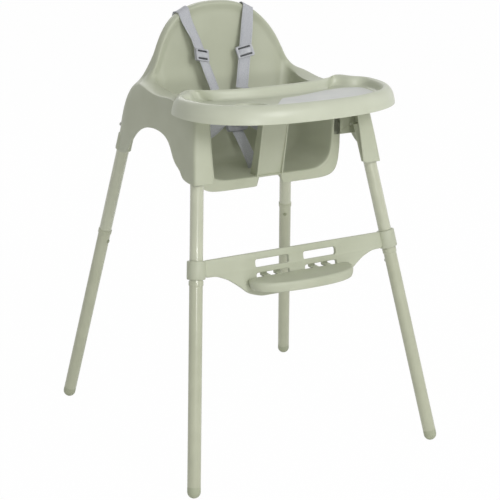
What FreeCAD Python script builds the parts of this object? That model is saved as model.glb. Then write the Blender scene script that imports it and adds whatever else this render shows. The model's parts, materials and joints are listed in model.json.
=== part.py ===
"""Baby high chair with a slide-on tray, a five-point harness and four two-piece legs.

Millimetres, +Z up, the floor at z = 0, the origin at the centre of the footprint, the child faces -Y.
"""
import FreeCAD, Part
import math
import os
import Sketcher

Vector = FreeCAD.Vector
Rotation = FreeCAD.Rotation
Placement = FreeCAD.Placement

document = FreeCAD.newDocument("HighChair")
sheet = document.addObject("Spreadsheet::Sheet", "dims")

DIMENSIONS = {
    # stance of the four leaning legs
    "foot_x": 277, "foot_y": 293, "foot_height": 12.2, "socket_height": 577,
    "socket_x": 196.5, "socket_y": 161.5,
    # leg tube
    "tube_radius": 13, "tube_wall": 1.2, "fit_gap": 0.05, "run_gap": 0.4,
    "joint_height": 391, "ring_length": 8, "ring_lip": 1.2, "sleeve_length": 62,
    "tube_seat": 74, "cap_skirt": 9, "cap_plug": 24,
    # snap button of each leg joint
    "snap_radius": 4, "snap_drop": 16, "snap_rise": 1.6,
    # moulded walls
    "wall": 3,
    # bucket
    "bucket_half": 143, "pan_height": 557, "bucket_front": -101, "bucket_corner": 40,
    "pan_back": 30, "pan_round": 46, "back_low_y": 66, "back_low_z": 600,
    "back_mid_y": 99, "back_mid_z": 732, "back_top_y": 125, "back_top_z": 875,
    "flange_half": 164, "flange_bottom": 536, "flange_radius": 36, "lobe_half": 30, "lobe_radius": 9,
    "rim_depth": 16,
    # armrests, skirts and leg columns
    "arm_inner": 150, "column_inner": 169, "column_outer": 213, "column_front": -182,
    "column_rear": 175, "arm_height": 712, "arm_crest": 726, "arm_saddle": 715, "shoulder": 731,
    "arch_crown": 645, "arch_front": -140, "arch_rear": 116, "web_bottom": 620,
    # leg sockets and their screws
    "socket_wall": 3.4, "screw_radius": 2, "screw_drop": 24,
    # crotch post
    "post_half": 30, "post_top": 700, "post_foot_y": -97, "post_lean": 0.228, "post_flange": 22,
    # tray
    "tray_half": 230.7, "tray_reach": 155.4, "tray_centre_y": -144.6, "tray_power": 2.4,
    "tray_corner_x": 199, "tray_corner_y": -60, "tray_corner_bend": 12, "tray_belly_y": -95,
    "tray_bottom": 704.5, "tray_top": 738.5, "tray_draft": 11, "tray_rim": 15, "well_floor": 718.5,
    "tray_seat_back": -58,
    "cup_x": -97, "cup_y": -193, "cup_radius": 37, "cup_depth": 10, "mat_thickness": 1.6,
    # footrest
    "bar_inset": 13.59, "bar_thickness": 9, "collar_wall": 5, "collar_length": 36,
    "collar_bottom": 397, "plate_half": 118, "plate_reach": 60, "plate_thickness": 3,
    "plate_apron": 15, "hook_x": 55, "hook_width": 60, "hook_thickness": 4,
    # harness
    "web_width": 25, "web_thickness": 1.6, "strap_gap": 0.5,
    "adjuster_rail": 6, "adjuster_length": 30, "adjuster_skin": 1.6,
    "tongue_margin": 2.5, "tongue_thickness": 4, "blade_width": 9, "blade_length": 30,
    "buckle_half_width": 24, "buckle_half_height": 22, "buckle_depth": 8, "buckle_back": 2.4,
    "button_radius": 10, "button_gap": 0.35,
    "strap_half_x": 76, "anchor_x": 84, "waist_x": 112, "waist_height": 611,
    # screw holes in the webs beside the bucket
    "web_hole_radius": 2.2, "web_hole_height": 640,
}
for row, (alias, size) in enumerate(DIMENSIONS.items(), start=1):
    sheet.set("A%d" % row, alias)
    sheet.set("B%d" % row, str(size))
    sheet.setAlias("B%d" % row, alias)
document.recompute()


def dim(alias):
    """The sheet's value of one driving dimension."""
    return float(sheet.get(alias))


parts = []


def finish(item, label, placement=None):
    """Name a sub-part, place it and list it for export."""
    item.Label = label
    if placement is not None:
        item.Placement = placement
    parts.append(item)
    return item


def feature(label, shape, placement=None):
    """A sub-part whose shape is built with Part's own functions."""
    item = document.addObject("Part::Feature", label)
    item.Shape = shape
    return finish(item, label, placement)


def origin_plane(body, role):
    """One of the body's own origin planes."""
    return next(item for item in body.Origin.OriginFeatures if item.Role == role)


def outline_sketch(body, name, role, points):
    """A closed outline whose corner coordinates are expressions of the sheet."""
    sketch = body.newObject("Sketcher::SketchObject", name)
    sketch.AttachmentSupport = [(origin_plane(body, role), "")]
    sketch.MapMode = "FlatFace"
    places = [tuple(evaluate(text) for text in point) for point in points]
    count = len(places)
    for index in range(count):
        start, end = places[index], places[(index + 1) % count]
        sketch.addGeometry(Part.LineSegment(Vector(*start, 0), Vector(*end, 0)))
    for index in range(count):
        sketch.addConstraint(Sketcher.Constraint("Coincident", index, 2, (index + 1) % count, 1))
    for index, point in enumerate(points):
        for kind, text, axis in (("DistanceX", point[0], -2), ("DistanceY", point[1], -1)):
            value = evaluate(text)
            if abs(value) < 1e-9:
                sketch.addConstraint(Sketcher.Constraint("PointOnObject", index, 1, axis))
                continue
            number = sketch.addConstraint(Sketcher.Constraint(kind, index, 1, value))
            sketch.setExpression("Constraints[%d]" % number, bound(text))
    return sketch


def circle_sketch(body, name, role, centre, radius):
    """A round outline centred at two expressions."""
    sketch = body.newObject("Sketcher::SketchObject", name)
    sketch.AttachmentSupport = [(origin_plane(body, role), "")]
    sketch.MapMode = "FlatFace"
    place = Vector(evaluate(centre[0]), evaluate(centre[1]), 0)
    sketch.addGeometry(Part.Circle(place, Vector(0, 0, 1), evaluate(radius)))
    number = sketch.addConstraint(Sketcher.Constraint("Radius", 0, evaluate(radius)))
    sketch.setExpression("Constraints[%d]" % number, bound(radius))
    for kind, text, axis in (("DistanceX", centre[0], -2), ("DistanceY", centre[1], -1)):
        if abs(evaluate(text)) < 1e-9:
            sketch.addConstraint(Sketcher.Constraint("PointOnObject", 0, 3, axis))
            continue
        number = sketch.addConstraint(Sketcher.Constraint(kind, 0, 3, evaluate(text)))
        sketch.setExpression("Constraints[%d]" % number, bound(text))
    return sketch


def bound(text):
    """An expression of words turned into one that names the sheet."""
    words = str(text).replace("(", " ( ").replace(")", " ) ").split()
    return " ".join("dims." + word if word in DIMENSIONS else word for word in words)


def evaluate(text):
    """The present value of an expression, worked out in a spare cell of the sheet."""
    sheet.set("D1", "=" + bound(text).replace("dims.", ""))
    sheet.recompute()
    return float(sheet.get("D1"))


def new_body(name):
    return document.addObject("PartDesign::Body", name)


def revolve(body, name, points):
    """A full turn of an outline (radius, height) about the body's own Z."""
    sketch = outline_sketch(body, name + "_outline", "XZ_Plane", points)
    turned = body.newObject("PartDesign::Revolution", name)
    turned.Profile = sketch
    turned.ReferenceAxis = (sketch, ["V_Axis"])
    turned.Angle = 360
    return turned


def pad(body, name, sketch, length, both_sides=False):
    raised = body.newObject("PartDesign::Pad", name)
    raised.Profile = sketch
    raised.setExpression("Length", bound(length))
    raised.Midplane = both_sides
    return raised


def pocket(body, name, sketch, length, reverse=False, both_sides=False):
    """A cut that must take material away."""
    document.recompute()
    before = body.Shape.Volume
    cut = body.newObject("PartDesign::Pocket", name)
    cut.Profile = sketch
    cut.setExpression("Length", bound(length))
    cut.Reversed = reverse
    cut.Midplane = both_sides
    document.recompute()
    if not body.Shape.Volume < before - 0.1:
        raise RuntimeError(name + " cuts nothing")
    return cut


def wire(points):
    """A closed polygon through the points."""
    return Part.makePolygon([Vector(*point) for point in points] + [Vector(*points[0])])


def prism_x(points, low, high):
    """A side view outline (y, z) drawn out from x = low to x = high."""
    face = Part.Face(wire([(low, y, z) for y, z in points]))
    return face.extrude(Vector(high - low, 0, 0))


def prism_y(points, low, high):
    """A front view outline (x, z) drawn out from y = low to y = high."""
    face = Part.Face(wire([(x, low, z) for x, z in points]))
    return face.extrude(Vector(0, high - low, 0))


def arc_points(centre, radius, start, end, count=8):
    """Points along an arc in the plane of two coordinates, angles in degrees."""
    steps = [math.radians(start + (end - start) * index / count) for index in range(count + 1)]
    return [(centre[0] + radius * math.cos(a), centre[1] + radius * math.sin(a)) for a in steps]


# ---------------------------------------------------------------- legs

LEGS = {"front_left": (-1, -1), "front_right": (1, -1), "rear_left": (-1, 1), "rear_right": (1, 1)}


def leg_direction(sides):
    """Unit vector up the axis of one leg."""
    rise = dim("socket_height") - dim("foot_height")
    lean_x = (dim("socket_x") - dim("foot_x")) * sides[0]
    lean_y = (dim("socket_y") - dim("foot_y")) * sides[1]
    return Vector(lean_x, lean_y, rise).normalize()


def leg_placement(sides):
    """Local Z up the leg from the foot's centre, local X towards the middle of the chair."""
    up = leg_direction(sides)
    inward = Vector(up.x, up.y, 0)
    side = up.cross(inward).normalize()
    foot = Vector(sides[0] * dim("foot_x"), sides[1] * dim("foot_y"), dim("foot_height"))
    return Placement(foot, Rotation(side.cross(up), side, up, "XYZ"))


def along_leg(height):
    """Distance from the foot's centre, along the leg, of a height above the floor."""
    return (height - dim("foot_height")) / leg_direction((1, 1)).z


joint_along = along_leg(dim("joint_height"))
for alias, size in (("ring_start", round(joint_along, 3)),
                    ("leg_top", round(along_leg(dim("socket_height")) + dim("tube_seat"), 3))):
    DIMENSIONS[alias] = size
    place = len(DIMENSIONS)
    sheet.set("A%d" % place, alias)
    sheet.set("B%d" % place, str(size))
    sheet.setAlias("B%d" % place, alias)
document.recompute()


def make_foot_cap(name, sides):
    """Plastic end cap: a round nose ground flat where it stands, and a plug in the tube."""
    body = new_body(name + "_turned")
    plug_radius = "tube_radius - tube_wall - fit_gap"
    sketch = outline_sketch(body, "cap_outline", "XZ_Plane", [
        ("0", "cap_plug"), ("0", "0"), ("tube_radius", "0"), ("tube_radius", "cap_skirt"),
        (plug_radius, "cap_skirt"), (plug_radius, "cap_plug")])
    turned = body.newObject("PartDesign::Revolution", "cap_turned")
    turned.Profile = sketch
    turned.ReferenceAxis = (sketch, ["V_Axis"])
    ball = document.addObject("Part::Sphere", name + "_nose")
    ball.setExpression("Radius", "dims.tube_radius")
    joined = document.addObject("Part::MultiFuse", name + "_joined")
    joined.Shapes = [body, ball]
    floor = document.addObject("Part::Box", name + "_floor")
    for side in ("Length", "Width", "Height"):
        floor.setExpression(side, "dims.tube_radius * 4")
    half = dim("tube_radius") * 2
    below = Placement(Vector(-half, -half, -2 * half), Rotation())
    under_foot = Vector(0, 0, -dim("foot_height"))
    level = leg_placement(sides).Rotation.inverted()
    floor.Placement = Placement(level.multVec(under_foot), level).multiply(below)
    cap = document.addObject("Part::Cut", name)
    cap.Base = joined
    cap.Tool = floor
    return finish(cap, name, leg_placement(sides))


def snap_hole(body, depth_name):
    """The snap button's hole through the inward wall of a leg tube."""
    sketch = circle_sketch(body, depth_name + "_hole", "YZ_Plane",
                           ("0", "ring_start - snap_drop"), "snap_radius")
    pocket(body, depth_name, sketch, "tube_radius + ring_lip + 2", reverse=True)


def make_lower_leg(name, sides):
    """Lower tube with a flared ring at its mouth."""
    body = new_body(name)
    bore = "tube_radius - tube_wall"
    revolve(body, "lower_tube", [
        (bore, "cap_skirt"), ("tube_radius", "cap_skirt"), ("tube_radius", "ring_start - 2"),
        ("tube_radius + ring_lip", "ring_start"), ("tube_radius + ring_lip", "ring_start + ring_length"),
        (bore, "ring_start + ring_length")])
    snap_hole(body, "lower_snap")
    return finish(body, name, leg_placement(sides))


def make_upper_leg(name, sides):
    """Upper tube whose narrower sleeve goes down into the lower tube."""
    body = new_body(name)
    sleeve = "tube_radius - tube_wall - fit_gap"
    sleeve_bore = "tube_radius - tube_wall * 2 - fit_gap"
    shoulder = "ring_start + ring_length"
    revolve(body, "upper_tube", [
        (sleeve_bore, "ring_start - sleeve_length"), (sleeve, "ring_start - sleeve_length"),
        (sleeve, shoulder), ("tube_radius", shoulder), ("tube_radius", "leg_top"),
        (sleeve_bore, "leg_top")])
    snap_hole(body, "upper_snap")
    screw_sketch = circle_sketch(body, "screw_hole", "YZ_Plane", ("0", "leg_top - screw_drop"),
                                 "screw_radius + fit_gap")
    pocket(body, "screw_cut", screw_sketch, "tube_radius + 2")
    return finish(body, name, leg_placement(sides))


def make_snap_button(name, sides):
    """Snap button: a domed pin through both tubes and a flange inside the sleeve."""
    body = new_body(name)
    pin = "snap_radius - fit_gap"
    head = "tube_radius + snap_rise"
    inside = "tube_radius - tube_wall * 2 - fit_gap - 1.2"
    flange, flange_back = pin + " + 0.6", inside + " - 1.5"
    revolve(body, "pin", [("0", flange_back), (flange, flange_back), (flange, inside), (pin, inside),
                          (pin, head + " - 1"), (pin + " - 1", head), ("0", head)])
    up_axis = Placement(Vector(0, 0, joint_along - dim("snap_drop")), Rotation(Vector(0, 1, 0), 90))
    return finish(body, name, leg_placement(sides).multiply(up_axis))


def make_snap_spring(name, sides):
    """Bent strip spring inside the sleeve that pushes the snap button out."""
    height = joint_along - dim("snap_drop")
    reach = dim("tube_radius") - 2 * dim("tube_wall") - dim("fit_gap")
    front = reach - 3.2
    strip = [(front, height - 3), (front, height + 3), (-reach + 2.4, height - 26),
             (-reach + 1.6, height - 2), (-reach + 0.8, height - 2), (-reach + 1.2, height - 28),
             (-reach + 2.2, height - 29.5)]
    face = Part.Face(wire([(x, -3, z) for x, z in strip]))
    return feature(name, face.extrude(Vector(0, 6, 0)), leg_placement(sides))


for place_name, sides in LEGS.items():
    make_foot_cap("foot_cap_" + place_name, sides)
    make_lower_leg("lower_leg_" + place_name, sides)
    make_upper_leg("upper_leg_" + place_name, sides)
    make_snap_button("leg_button_" + place_name, sides)
    make_snap_spring("leg_button_spring_" + place_name, sides)

# ---------------------------------------------------------------- footrest bar

bar_lean = math.atan2(dim("foot_y") - dim("socket_y"), dim("socket_height") - dim("foot_height"))


def front_leg_y(height):
    """y of the front legs' axes at a height."""
    return -dim("foot_y") + math.tan(bar_lean) * (height - dim("foot_height"))


bar_base = dim("collar_bottom") - 52
bar_placement = Placement(Vector(0, front_leg_y(bar_base), bar_base),
                          Rotation(Vector(1, 0, 0), 90 - math.degrees(bar_lean)))


def make_footrest_bar():
    """Moulded cross bar in the plane of the front legs, with a collar round each upper tube."""
    body = new_body("footrest_bar_web")
    bar_end = ("(foot_x - (foot_x - socket_x) * (collar_bottom + collar_length / 2 - foot_height) / "
               "(socket_height - foot_height) - bar_inset)")
    right = [("86", "5"), ("112", "13.5"), ("132", "31"), ("153", "46.5"), (bar_end, "58"),
             (bar_end, "91")]
    mirrored = [("-1 * " + x, z) for x, z in reversed(right)]
    sketch = outline_sketch(body, "bar_outline", "XY_Plane", right + mirrored)
    pad(body, "bar_pad", sketch, "bar_thickness", both_sides=True)
    for name, low, high in (("upper_slot", "61.5", "77"), ("lower_slot", "36", "50.5")):
        for side in ("", "-1 * "):
            corners = [(side + "17", low), (side + "92", low), (side + "92", high), (side + "17", high)]
            slot = outline_sketch(body, name, "XY_Plane", corners)
            pocket(body, name + "_cut", slot, "bar_thickness * 2", both_sides=True)
    document.recompute()
    body.Placement = bar_placement
    pieces = [body]
    bores = []
    for side in (-1, 1):
        for kind, radius, group in (("collar", "dims.tube_radius + dims.collar_wall", pieces),
                                    ("bore", "dims.tube_radius + dims.fit_gap", bores)):
            round_piece = document.addObject("Part::Cylinder", "bar_%s_%d" % (kind, side + 2))
            round_piece.setExpression("Radius", radius)
            extra = "" if kind == "collar" else " + 40"
            round_piece.setExpression("Height", "dims.collar_length" + extra)
            start = along_leg(dim("collar_bottom") + 4) - (0 if kind == "collar" else 20)
            lifted = Placement(Vector(0, 0, start), Rotation())
            round_piece.Placement = leg_placement((side, -1)).multiply(lifted)
            group.append(round_piece)
    joined = document.addObject("Part::MultiFuse", "bar_joined")
    joined.Shapes = pieces
    bore_pair = document.addObject("Part::MultiFuse", "bar_bores")
    bore_pair.Shapes = bores
    bar = document.addObject("Part::Cut", "footrest_bar")
    bar.Base = joined
    bar.Tool = bore_pair
    return finish(bar, "footrest_bar")


make_footrest_bar()

hinge_height = dim("collar_bottom") - 9.5
hinge_y = front_leg_y(hinge_height)
lean_shift = math.tan(bar_lean)


def make_footrest_plate():
    """D-shaped foot plate with an apron and two hooks that reach through the bar's lower slots."""
    top = hinge_height + dim("hook_thickness") / 2
    apron, skin = dim("plate_apron"), dim("plate_thickness")
    face_y = hinge_y - dim("bar_thickness") / 2 / math.cos(bar_lean)
    rear_top = face_y - 2.0
    half, reach, power, count = dim("plate_half"), dim("plate_reach"), 2.5, 20

    def plan(inset, height, rear):
        outline = []
        for index in range(count + 1):
            angle = math.pi * index / count
            x = math.copysign(abs(math.cos(angle)) ** (2 / power), math.cos(angle))
            y = math.sin(angle) ** (2 / power)
            outline.append(((half - inset) * x, rear - (reach - inset) * y))
        return wire([(x, y, height) for x, y in outline])

    low_rear = rear_top - apron * lean_shift
    outer = Part.makeLoft([plan(0, top, rear_top), plan(1, top - apron, low_rear)], True, True)
    hollow = Part.makeLoft([plan(skin, top - skin, rear_top - skin),
                            plan(skin + 1, top - apron - 1, low_rear - skin)], True, True)
    shape = outer.cut(hollow)
    thick = dim("hook_thickness")
    behind = dim("bar_thickness") / 2 / math.cos(bar_lean) + 2.6
    for side in (-1, 1):
        low = side * dim("hook_x") - dim("hook_width") / 2
        tab = [(rear_top - 2 - hinge_y, thick / 2), (rear_top - 2 - hinge_y, -thick / 2),
               (behind + 3, -thick / 2), (behind + 5, thick / 2 + 7), (behind + 2, thick / 2 + 7),
               (behind, thick / 2)]
        hook = prism_x([(hinge_y + y, hinge_height + z) for y, z in tab], low, low + dim("hook_width"))
        shape = shape.fuse(hook)
    return feature("footrest_plate", shape.removeSplitter())


make_footrest_plate()

# ---------------------------------------------------------------- seat shell


def screw_tools(gap):
    """Shank and head of a socket screw in a leg's own frame, grown by a gap."""
    height = dim("leg_top") - dim("screw_drop")
    reach = dim("tube_radius") + dim("socket_wall")
    long = 9 + 30 * (gap > 0)
    shank = Part.makeCylinder(dim("screw_radius") + gap, 13, Vector(-reach - 1, 0, height), Vector(1, 0, 0))
    head = Part.makeCylinder(dim("screw_radius") * 1.9 + gap * 4, long - 6.8 + gap * 3,
                             Vector(-reach - long + 6 - gap, 0, height), Vector(1, 0, 0))
    return shank, head


wall = dim("wall")
column_slope = (dim("foot_x") - dim("socket_x")) / (dim("socket_height") - dim("foot_height"))


def outer_x(height):
    """|x| of the skirt's outer face at a height."""
    return dim("column_outer") - column_slope * (height - dim("socket_height"))


def column_y(height, at_socket):
    """y of a column's face, leaning with the leg."""
    toward = 1 if at_socket < 0 else -1
    return at_socket + toward * lean_shift * (height - dim("socket_height"))


def bucket_section(extra):
    """Front view of the bucket's trough, grown by extra."""
    half = dim("bucket_half") + extra
    bottom = dim("pan_height") - extra
    bend = dim("bucket_corner") + extra
    right = arc_points((half - bend, bottom + bend), bend, -90, 0)
    left = arc_points((-half + bend, bottom + bend), bend, 180, 270)
    top = dim("back_top_z") + 60
    return left + right + [(half, top), (-half, top)]


def bucket_side(extra, front, top):
    """Side view of the bucket, pan, rear curve and reclined back, grown by extra."""
    bottom = dim("pan_height") - extra
    bend = dim("pan_round") + extra
    curve = arc_points((dim("pan_back") - 6, dim("pan_height") + dim("pan_round")), bend, -90, -12)
    return [(front, bottom)] + curve + [(wall_y(top) + extra, top), (front, top)]


def wall_y(height):
    """y of the bucket's rear wall below the shoulders."""
    rise = (height - dim("back_low_z")) / (dim("back_mid_z") - dim("back_low_z"))
    return dim("back_low_y") + rise * (dim("back_mid_y") - dim("back_low_y"))


def back_y(height):
    """y of the backrest's front face at a height above the shoulders."""
    rise = (height - dim("back_mid_z")) / (dim("back_top_z") - dim("back_mid_z"))
    return dim("back_mid_y") + rise * (dim("back_top_y") - dim("back_mid_y"))


def make_bucket():
    """Trough-shaped seat with its front flange, cut down to the armrests' top line."""
    top = dim("back_mid_z")
    front = dim("bucket_front")
    outer = prism_y(bucket_section(wall), front, 300).common(
        prism_x(bucket_side(wall, front, top), -300, 300))
    inner = prism_y(bucket_section(0), front - 1, 300).common(
        prism_x(bucket_side(0, front - 1, top + 1), -300, 300))
    line = side_profile(0)[ARM_LINE:]
    above = prism_x([(line[0][0], 900)] + line + [(-400, dim("arm_height")), (-400, 900)], -300, 300)
    shell = outer.cut(inner).cut(above)
    half, low, bend = dim("flange_half"), dim("flange_bottom"), dim("flange_radius")
    lobe, lobe_bend = dim("lobe_half"), dim("lobe_radius")
    right = arc_points((lobe + lobe_bend, low + lobe_bend), lobe_bend, 180, 270, 4)
    right += arc_points((half - bend, low + bend), bend, -90, 0)
    right += [(half, dim("arm_height")), (dim("bucket_half"), dim("arm_height"))]
    inside = dim("bucket_corner")
    right += arc_points((dim("bucket_half") - inside, dim("pan_height") + inside), inside, 0, -90)
    right += [(lobe, dim("pan_height"))]
    flange = prism_y(right, front, front + wall)
    mirrored = prism_y([(-x, z) for x, z in reversed(right)], front, front + wall)
    return shell.fuse([flange, mirrored])


def back_half_width(height):
    """Half width of the backrest at a height, an upright oval cap on a tapering panel."""
    low, crown = dim("shoulder"), dim("back_top_z")
    rise = (height - low) / (crown - low)
    taper = 40 * rise * (1 - rise)
    return (dim("bucket_half") + 22) * math.sqrt(max(0.0, 1 - rise ** 2.4)) - taper


def back_outline(inset):
    """Front view of the backrest's rim from the shoulders to the crown, drawn in by inset."""
    low, crown = dim("shoulder") - 34, dim("back_top_z") - inset
    steps = 14
    right = []
    for index in range(steps):
        rise = math.sin(math.pi / 2 * index / steps)
        height = dim("shoulder") + rise * (crown - dim("shoulder"))
        right.append((back_half_width(height + inset * rise) - inset, height))
    right = [(dim("bucket_half") + 22 - inset, low)] + right + [(0, crown)]
    return right + [(-x, z) for x, z in reversed(right[:-1])]


def make_backrest():
    """Reclined back panel with a rounded rim turned back round its edge."""
    depth = dim("rim_depth")
    low, high = dim("shoulder") - 34, dim("back_top_z") + 20
    slab = [(back_y(low), low), (back_y(low) + depth, low),
            (back_y(high) + depth, high), (back_y(high), high)]
    outer = prism_y(back_outline(0), -100, 300).common(prism_x(slab, -300, 300))
    inner_slab = [(back_y(low) + wall, low - 1), (back_y(low) + depth + 1, low - 1),
                  (back_y(high) + depth + 1, high), (back_y(high) + wall, high)]
    inner = prism_y(back_outline(wall), -100, 300).common(prism_x(inner_slab, -300, 300))
    return outer.cut(inner)


ARM_LINE = 19  # first point of the armrest's top line in the outline below


def side_profile(inset):
    """Side view of one skirt with its two columns; the arch between them stays open below."""
    foot = dim("socket_height") - (1 if inset else 0)
    crown = dim("arch_crown")
    front_top = column_y(dim("arm_height"), dim("column_front")) + inset
    arch_front, arch_rear = dim("arch_front"), dim("arch_rear")
    points = [(column_y(foot, dim("column_front")) + inset, foot), (arch_front - inset, foot)]
    points += [(arch_front + 9 - inset, foot + 22), (-103 - inset, crown - 44), (-82 - inset, crown - 40)]
    points += [(-64, crown - 24), (-45, crown - 5), (-11, crown), (30, crown - 3), (66, crown - 13)]
    points += [(92 + inset, crown - 33), (arch_rear - 6 + inset, crown - 54), (arch_rear + inset, foot)]
    points += [(dim("column_rear") - inset, foot), (152 - inset, 632), (138 - inset, 667)]
    points += [(122 - inset, 697), (102 - inset, dim("shoulder") - 12 - inset)]
    points += [(84 - inset, dim("shoulder") - inset), (60, dim("arm_crest") - 6 - inset)]
    points += [(0, dim("arm_saddle") - inset), (-28, dim("arm_crest") - inset)]
    points += [(-50, dim("arm_crest") - 1 - inset), (dim("tray_seat_back"), dim("arm_height") - inset)]
    points += [(front_top, dim("arm_height") - inset)]
    return points


def open_profile():
    """Side view of the space under one armrest, open all the way down."""
    top = side_profile(wall)
    rear_foot = 13
    low = dim("socket_height") - 2
    front = (column_y(low, dim("column_front")) + wall, low)
    return [front, (dim("column_rear") - wall, low)] + top[rear_foot + 1:]


def make_side(side):
    """One armrest with its outer skirt, its two leg columns and their sockets."""
    low, high = dim("socket_height") - 40, dim("shoulder") + 40
    inner = dim("arm_inner") - 6
    span = prism_x(side_profile(0), inner - 30, 400)
    wedge = [(inner, low), (outer_x(low), low), (outer_x(high), high), (inner, high)]
    solid = span.common(prism_y(wedge, -300, 300))
    thin = [(inner - 1, low), (outer_x(low) - wall, low), (outer_x(high) - wall, high), (inner - 1, high)]
    hollow = prism_x(open_profile(), inner - 40, 400).common(prism_y(thin, -300, 300))
    bucket_edge = dim("bucket_half") + wall
    keep_bucket = Part.makeBox(bucket_edge - inner, 600, 400, Vector(inner, -300, low))
    ahead_of_column = Part.makeBox(10, 300, 400, Vector(inner, -401, low))
    skirt = solid.cut(hollow).cut(keep_bucket.common(ahead_of_column))
    pieces = []
    top_z = dim("socket_height") + dim("tube_seat") * leg_direction((1, 1)).z
    for depth in (-1, 1):
        place = leg_placement((1, depth))
        start = along_leg(dim("socket_height"))
        sleeve = Part.makeCylinder(dim("tube_radius") + dim("fit_gap") + dim("socket_wall"),
                                   dim("tube_seat") + 6, Vector(0, 0, start))
        sleeve.Placement = place
        slab = Part.makeBox(600, 600, top_z + 3 - dim("socket_height"),
                            Vector(-300, -300, dim("socket_height")))
        pieces.append(sleeve.common(slab))
    web_low, web_high, web_inner = dim("web_bottom"), dim("arm_height"), dim("bucket_half") + 1
    web = prism_y([(dim("flange_half") - 4, web_low), (outer_x(web_low) - 1, web_low),
                   (outer_x(web_high) - 1, web_high - 1), (web_inner, web_high - 1),
                   (web_inner, web_low + 4)],
                  dim("bucket_front"), dim("bucket_front") + wall)
    face_low = column_y(dim("socket_height"), dim("column_front"))
    face_high = column_y(web_high, dim("column_front"))
    column_side = [(face_low, dim("socket_height")), (face_low + wall, dim("socket_height")),
                   (face_high + wall, web_high), (face_high, web_high)]
    column_view = [(dim("column_inner"), low), (outer_x(low), low), (outer_x(high), high),
                   (dim("column_inner") - 14, high)]
    column_face = prism_x(column_side, dim("column_inner") - 14, 400).common(prism_y(column_view, -300, 300))
    shape = skirt.fuse(pieces + [web, column_face])
    for depth in (-1, 1):
        bore = Part.makeCylinder(dim("tube_radius") + dim("fit_gap"), dim("tube_seat") + 60,
                                 Vector(0, 0, along_leg(dim("socket_height")) - 60))
        bore.Placement = leg_placement((1, depth))
        shape = shape.cut(bore)
        shank, head = screw_tools(0.05)
        for tool in (shank, head):
            tool.Placement = leg_placement((1, depth))
            shape = shape.cut(tool)
    hole_x = dim("column_inner") + dim("tube_radius")
    hole_place = Vector(hole_x, dim("bucket_front") - 8, dim("web_hole_height"))
    screw_hole = Part.makeCylinder(dim("web_hole_radius"), 20, hole_place, Vector(0, 1, 0))
    shape = shape.cut(screw_hole)
    if side < 0:
        shape = shape.mirror(Vector(0, 0, 0), Vector(1, 0, 0))
    return shape


def make_post():
    """Crotch post: a leaning web with a flange down each side, joined to the seat pan."""
    half, foot_y, lean = dim("post_half"), dim("post_foot_y"), dim("post_lean")
    low, top = dim("pan_height") - wall, dim("post_top")

    def face_y(height):
        return foot_y - lean * (height - dim("pan_height"))

    web_side = [(face_y(low), low), (face_y(low) + wall, low), (face_y(top) + wall, top), (face_y(top), top)]
    web = prism_x(web_side, -half, half)
    flanges = []
    for x in (-half, half - wall):
        outline = [(face_y(low), low - 12), (face_y(low) + dim("post_flange"), low + 1),
                   (face_y(top) + dim("post_flange") * 0.7, top), (face_y(top), top)]
        flanges.append(prism_x(outline, x, x + wall))
    return web.fuse(flanges)


def strap_slots():
    """Slots for the crotch strap and the two waist straps."""
    slot_width = dim("web_width") + 5
    slots = [Part.makeBox(slot_width, 5, 20, Vector(-slot_width / 2, -37, dim("pan_height") - 12))]
    for side in (-1, 1):
        tall = dim("web_width") + 4
        low = dim("waist_height") + 0.5 - tall / 2
        slots.append(Part.makeBox(6, 60, tall, Vector(side * dim("waist_x") - 3, 40, low)))
    return slots


bucket = make_bucket()
backrest = make_backrest()
seat = bucket.fuse([backrest, make_post(), make_side(1), make_side(-1)])
for slot in strap_slots():
    seat = seat.cut(slot)
feature("seat_shell", seat.removeSplitter())

# ---------------------------------------------------------------- seat fasteners


def make_socket_screws():
    """One self-tapping screw through each leg column, holding the tube end."""
    screws = []
    for sides in LEGS.values():
        shank, head = screw_tools(0)
        screw = shank.fuse(head)
        screw.Placement = leg_placement(sides)
        screws.append(screw)
    return screws


# ---------------------------------------------------------------- tray

LATCH_FRONT = -147


def tray_outline(inset, count=22):
    """Plan of the tray's edge: a superellipse front, curved sides, round corners and a belly hollow."""
    half, reach = dim("tray_half") - inset, dim("tray_reach") - inset
    centre_y, power = dim("tray_centre_y"), dim("tray_power")
    front = []
    for index in range(count + 1):
        angle = -math.pi / 2 + math.pi / 2 * index / count
        x = half * math.cos(angle) ** (2 / power)
        y = centre_y - reach * abs(math.sin(angle)) ** (2 / power)
        front.append((x, y))
    corner_x, corner_y = dim("tray_corner_x") - inset, dim("tray_corner_y")
    bend = dim("tray_corner_bend")
    corner = arc_points((corner_x - bend, corner_y - inset - bend), bend, 20, 100, 5)
    bezier = Part.BezierCurve()
    bezier.setPoles([Vector(half, centre_y, 0), Vector(half, centre_y + 42, 0),
                     Vector(corner[0][0] + 9, corner[0][1] - 25, 0), Vector(*corner[0], 0)])
    side = [bezier.value(step / 8) for step in range(1, 8)]
    front += [(place.x, place.y) for place in side]
    belly = dim("tray_belly_y") - inset
    back = [(corner_x * share, belly + (corner_y - inset - belly) * share ** 2.6)
            for share in (0.75, 0.5, 0.25, 0)]
    right = front + corner + back
    return right + [(-x, y) for x, y in reversed(right[1:-1])]


def tray_level(inset, height):
    """The tray's plan at one height as a closed edge of short straight runs."""
    return wire([(x, y, height) for x, y in tray_outline(inset)])


def tray_block(low, high, low_inset, high_inset):
    return Part.makeLoft([tray_level(low_inset, low), tray_level(high_inset, high)], True, True)


GUIDE_RISE = 8


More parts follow.
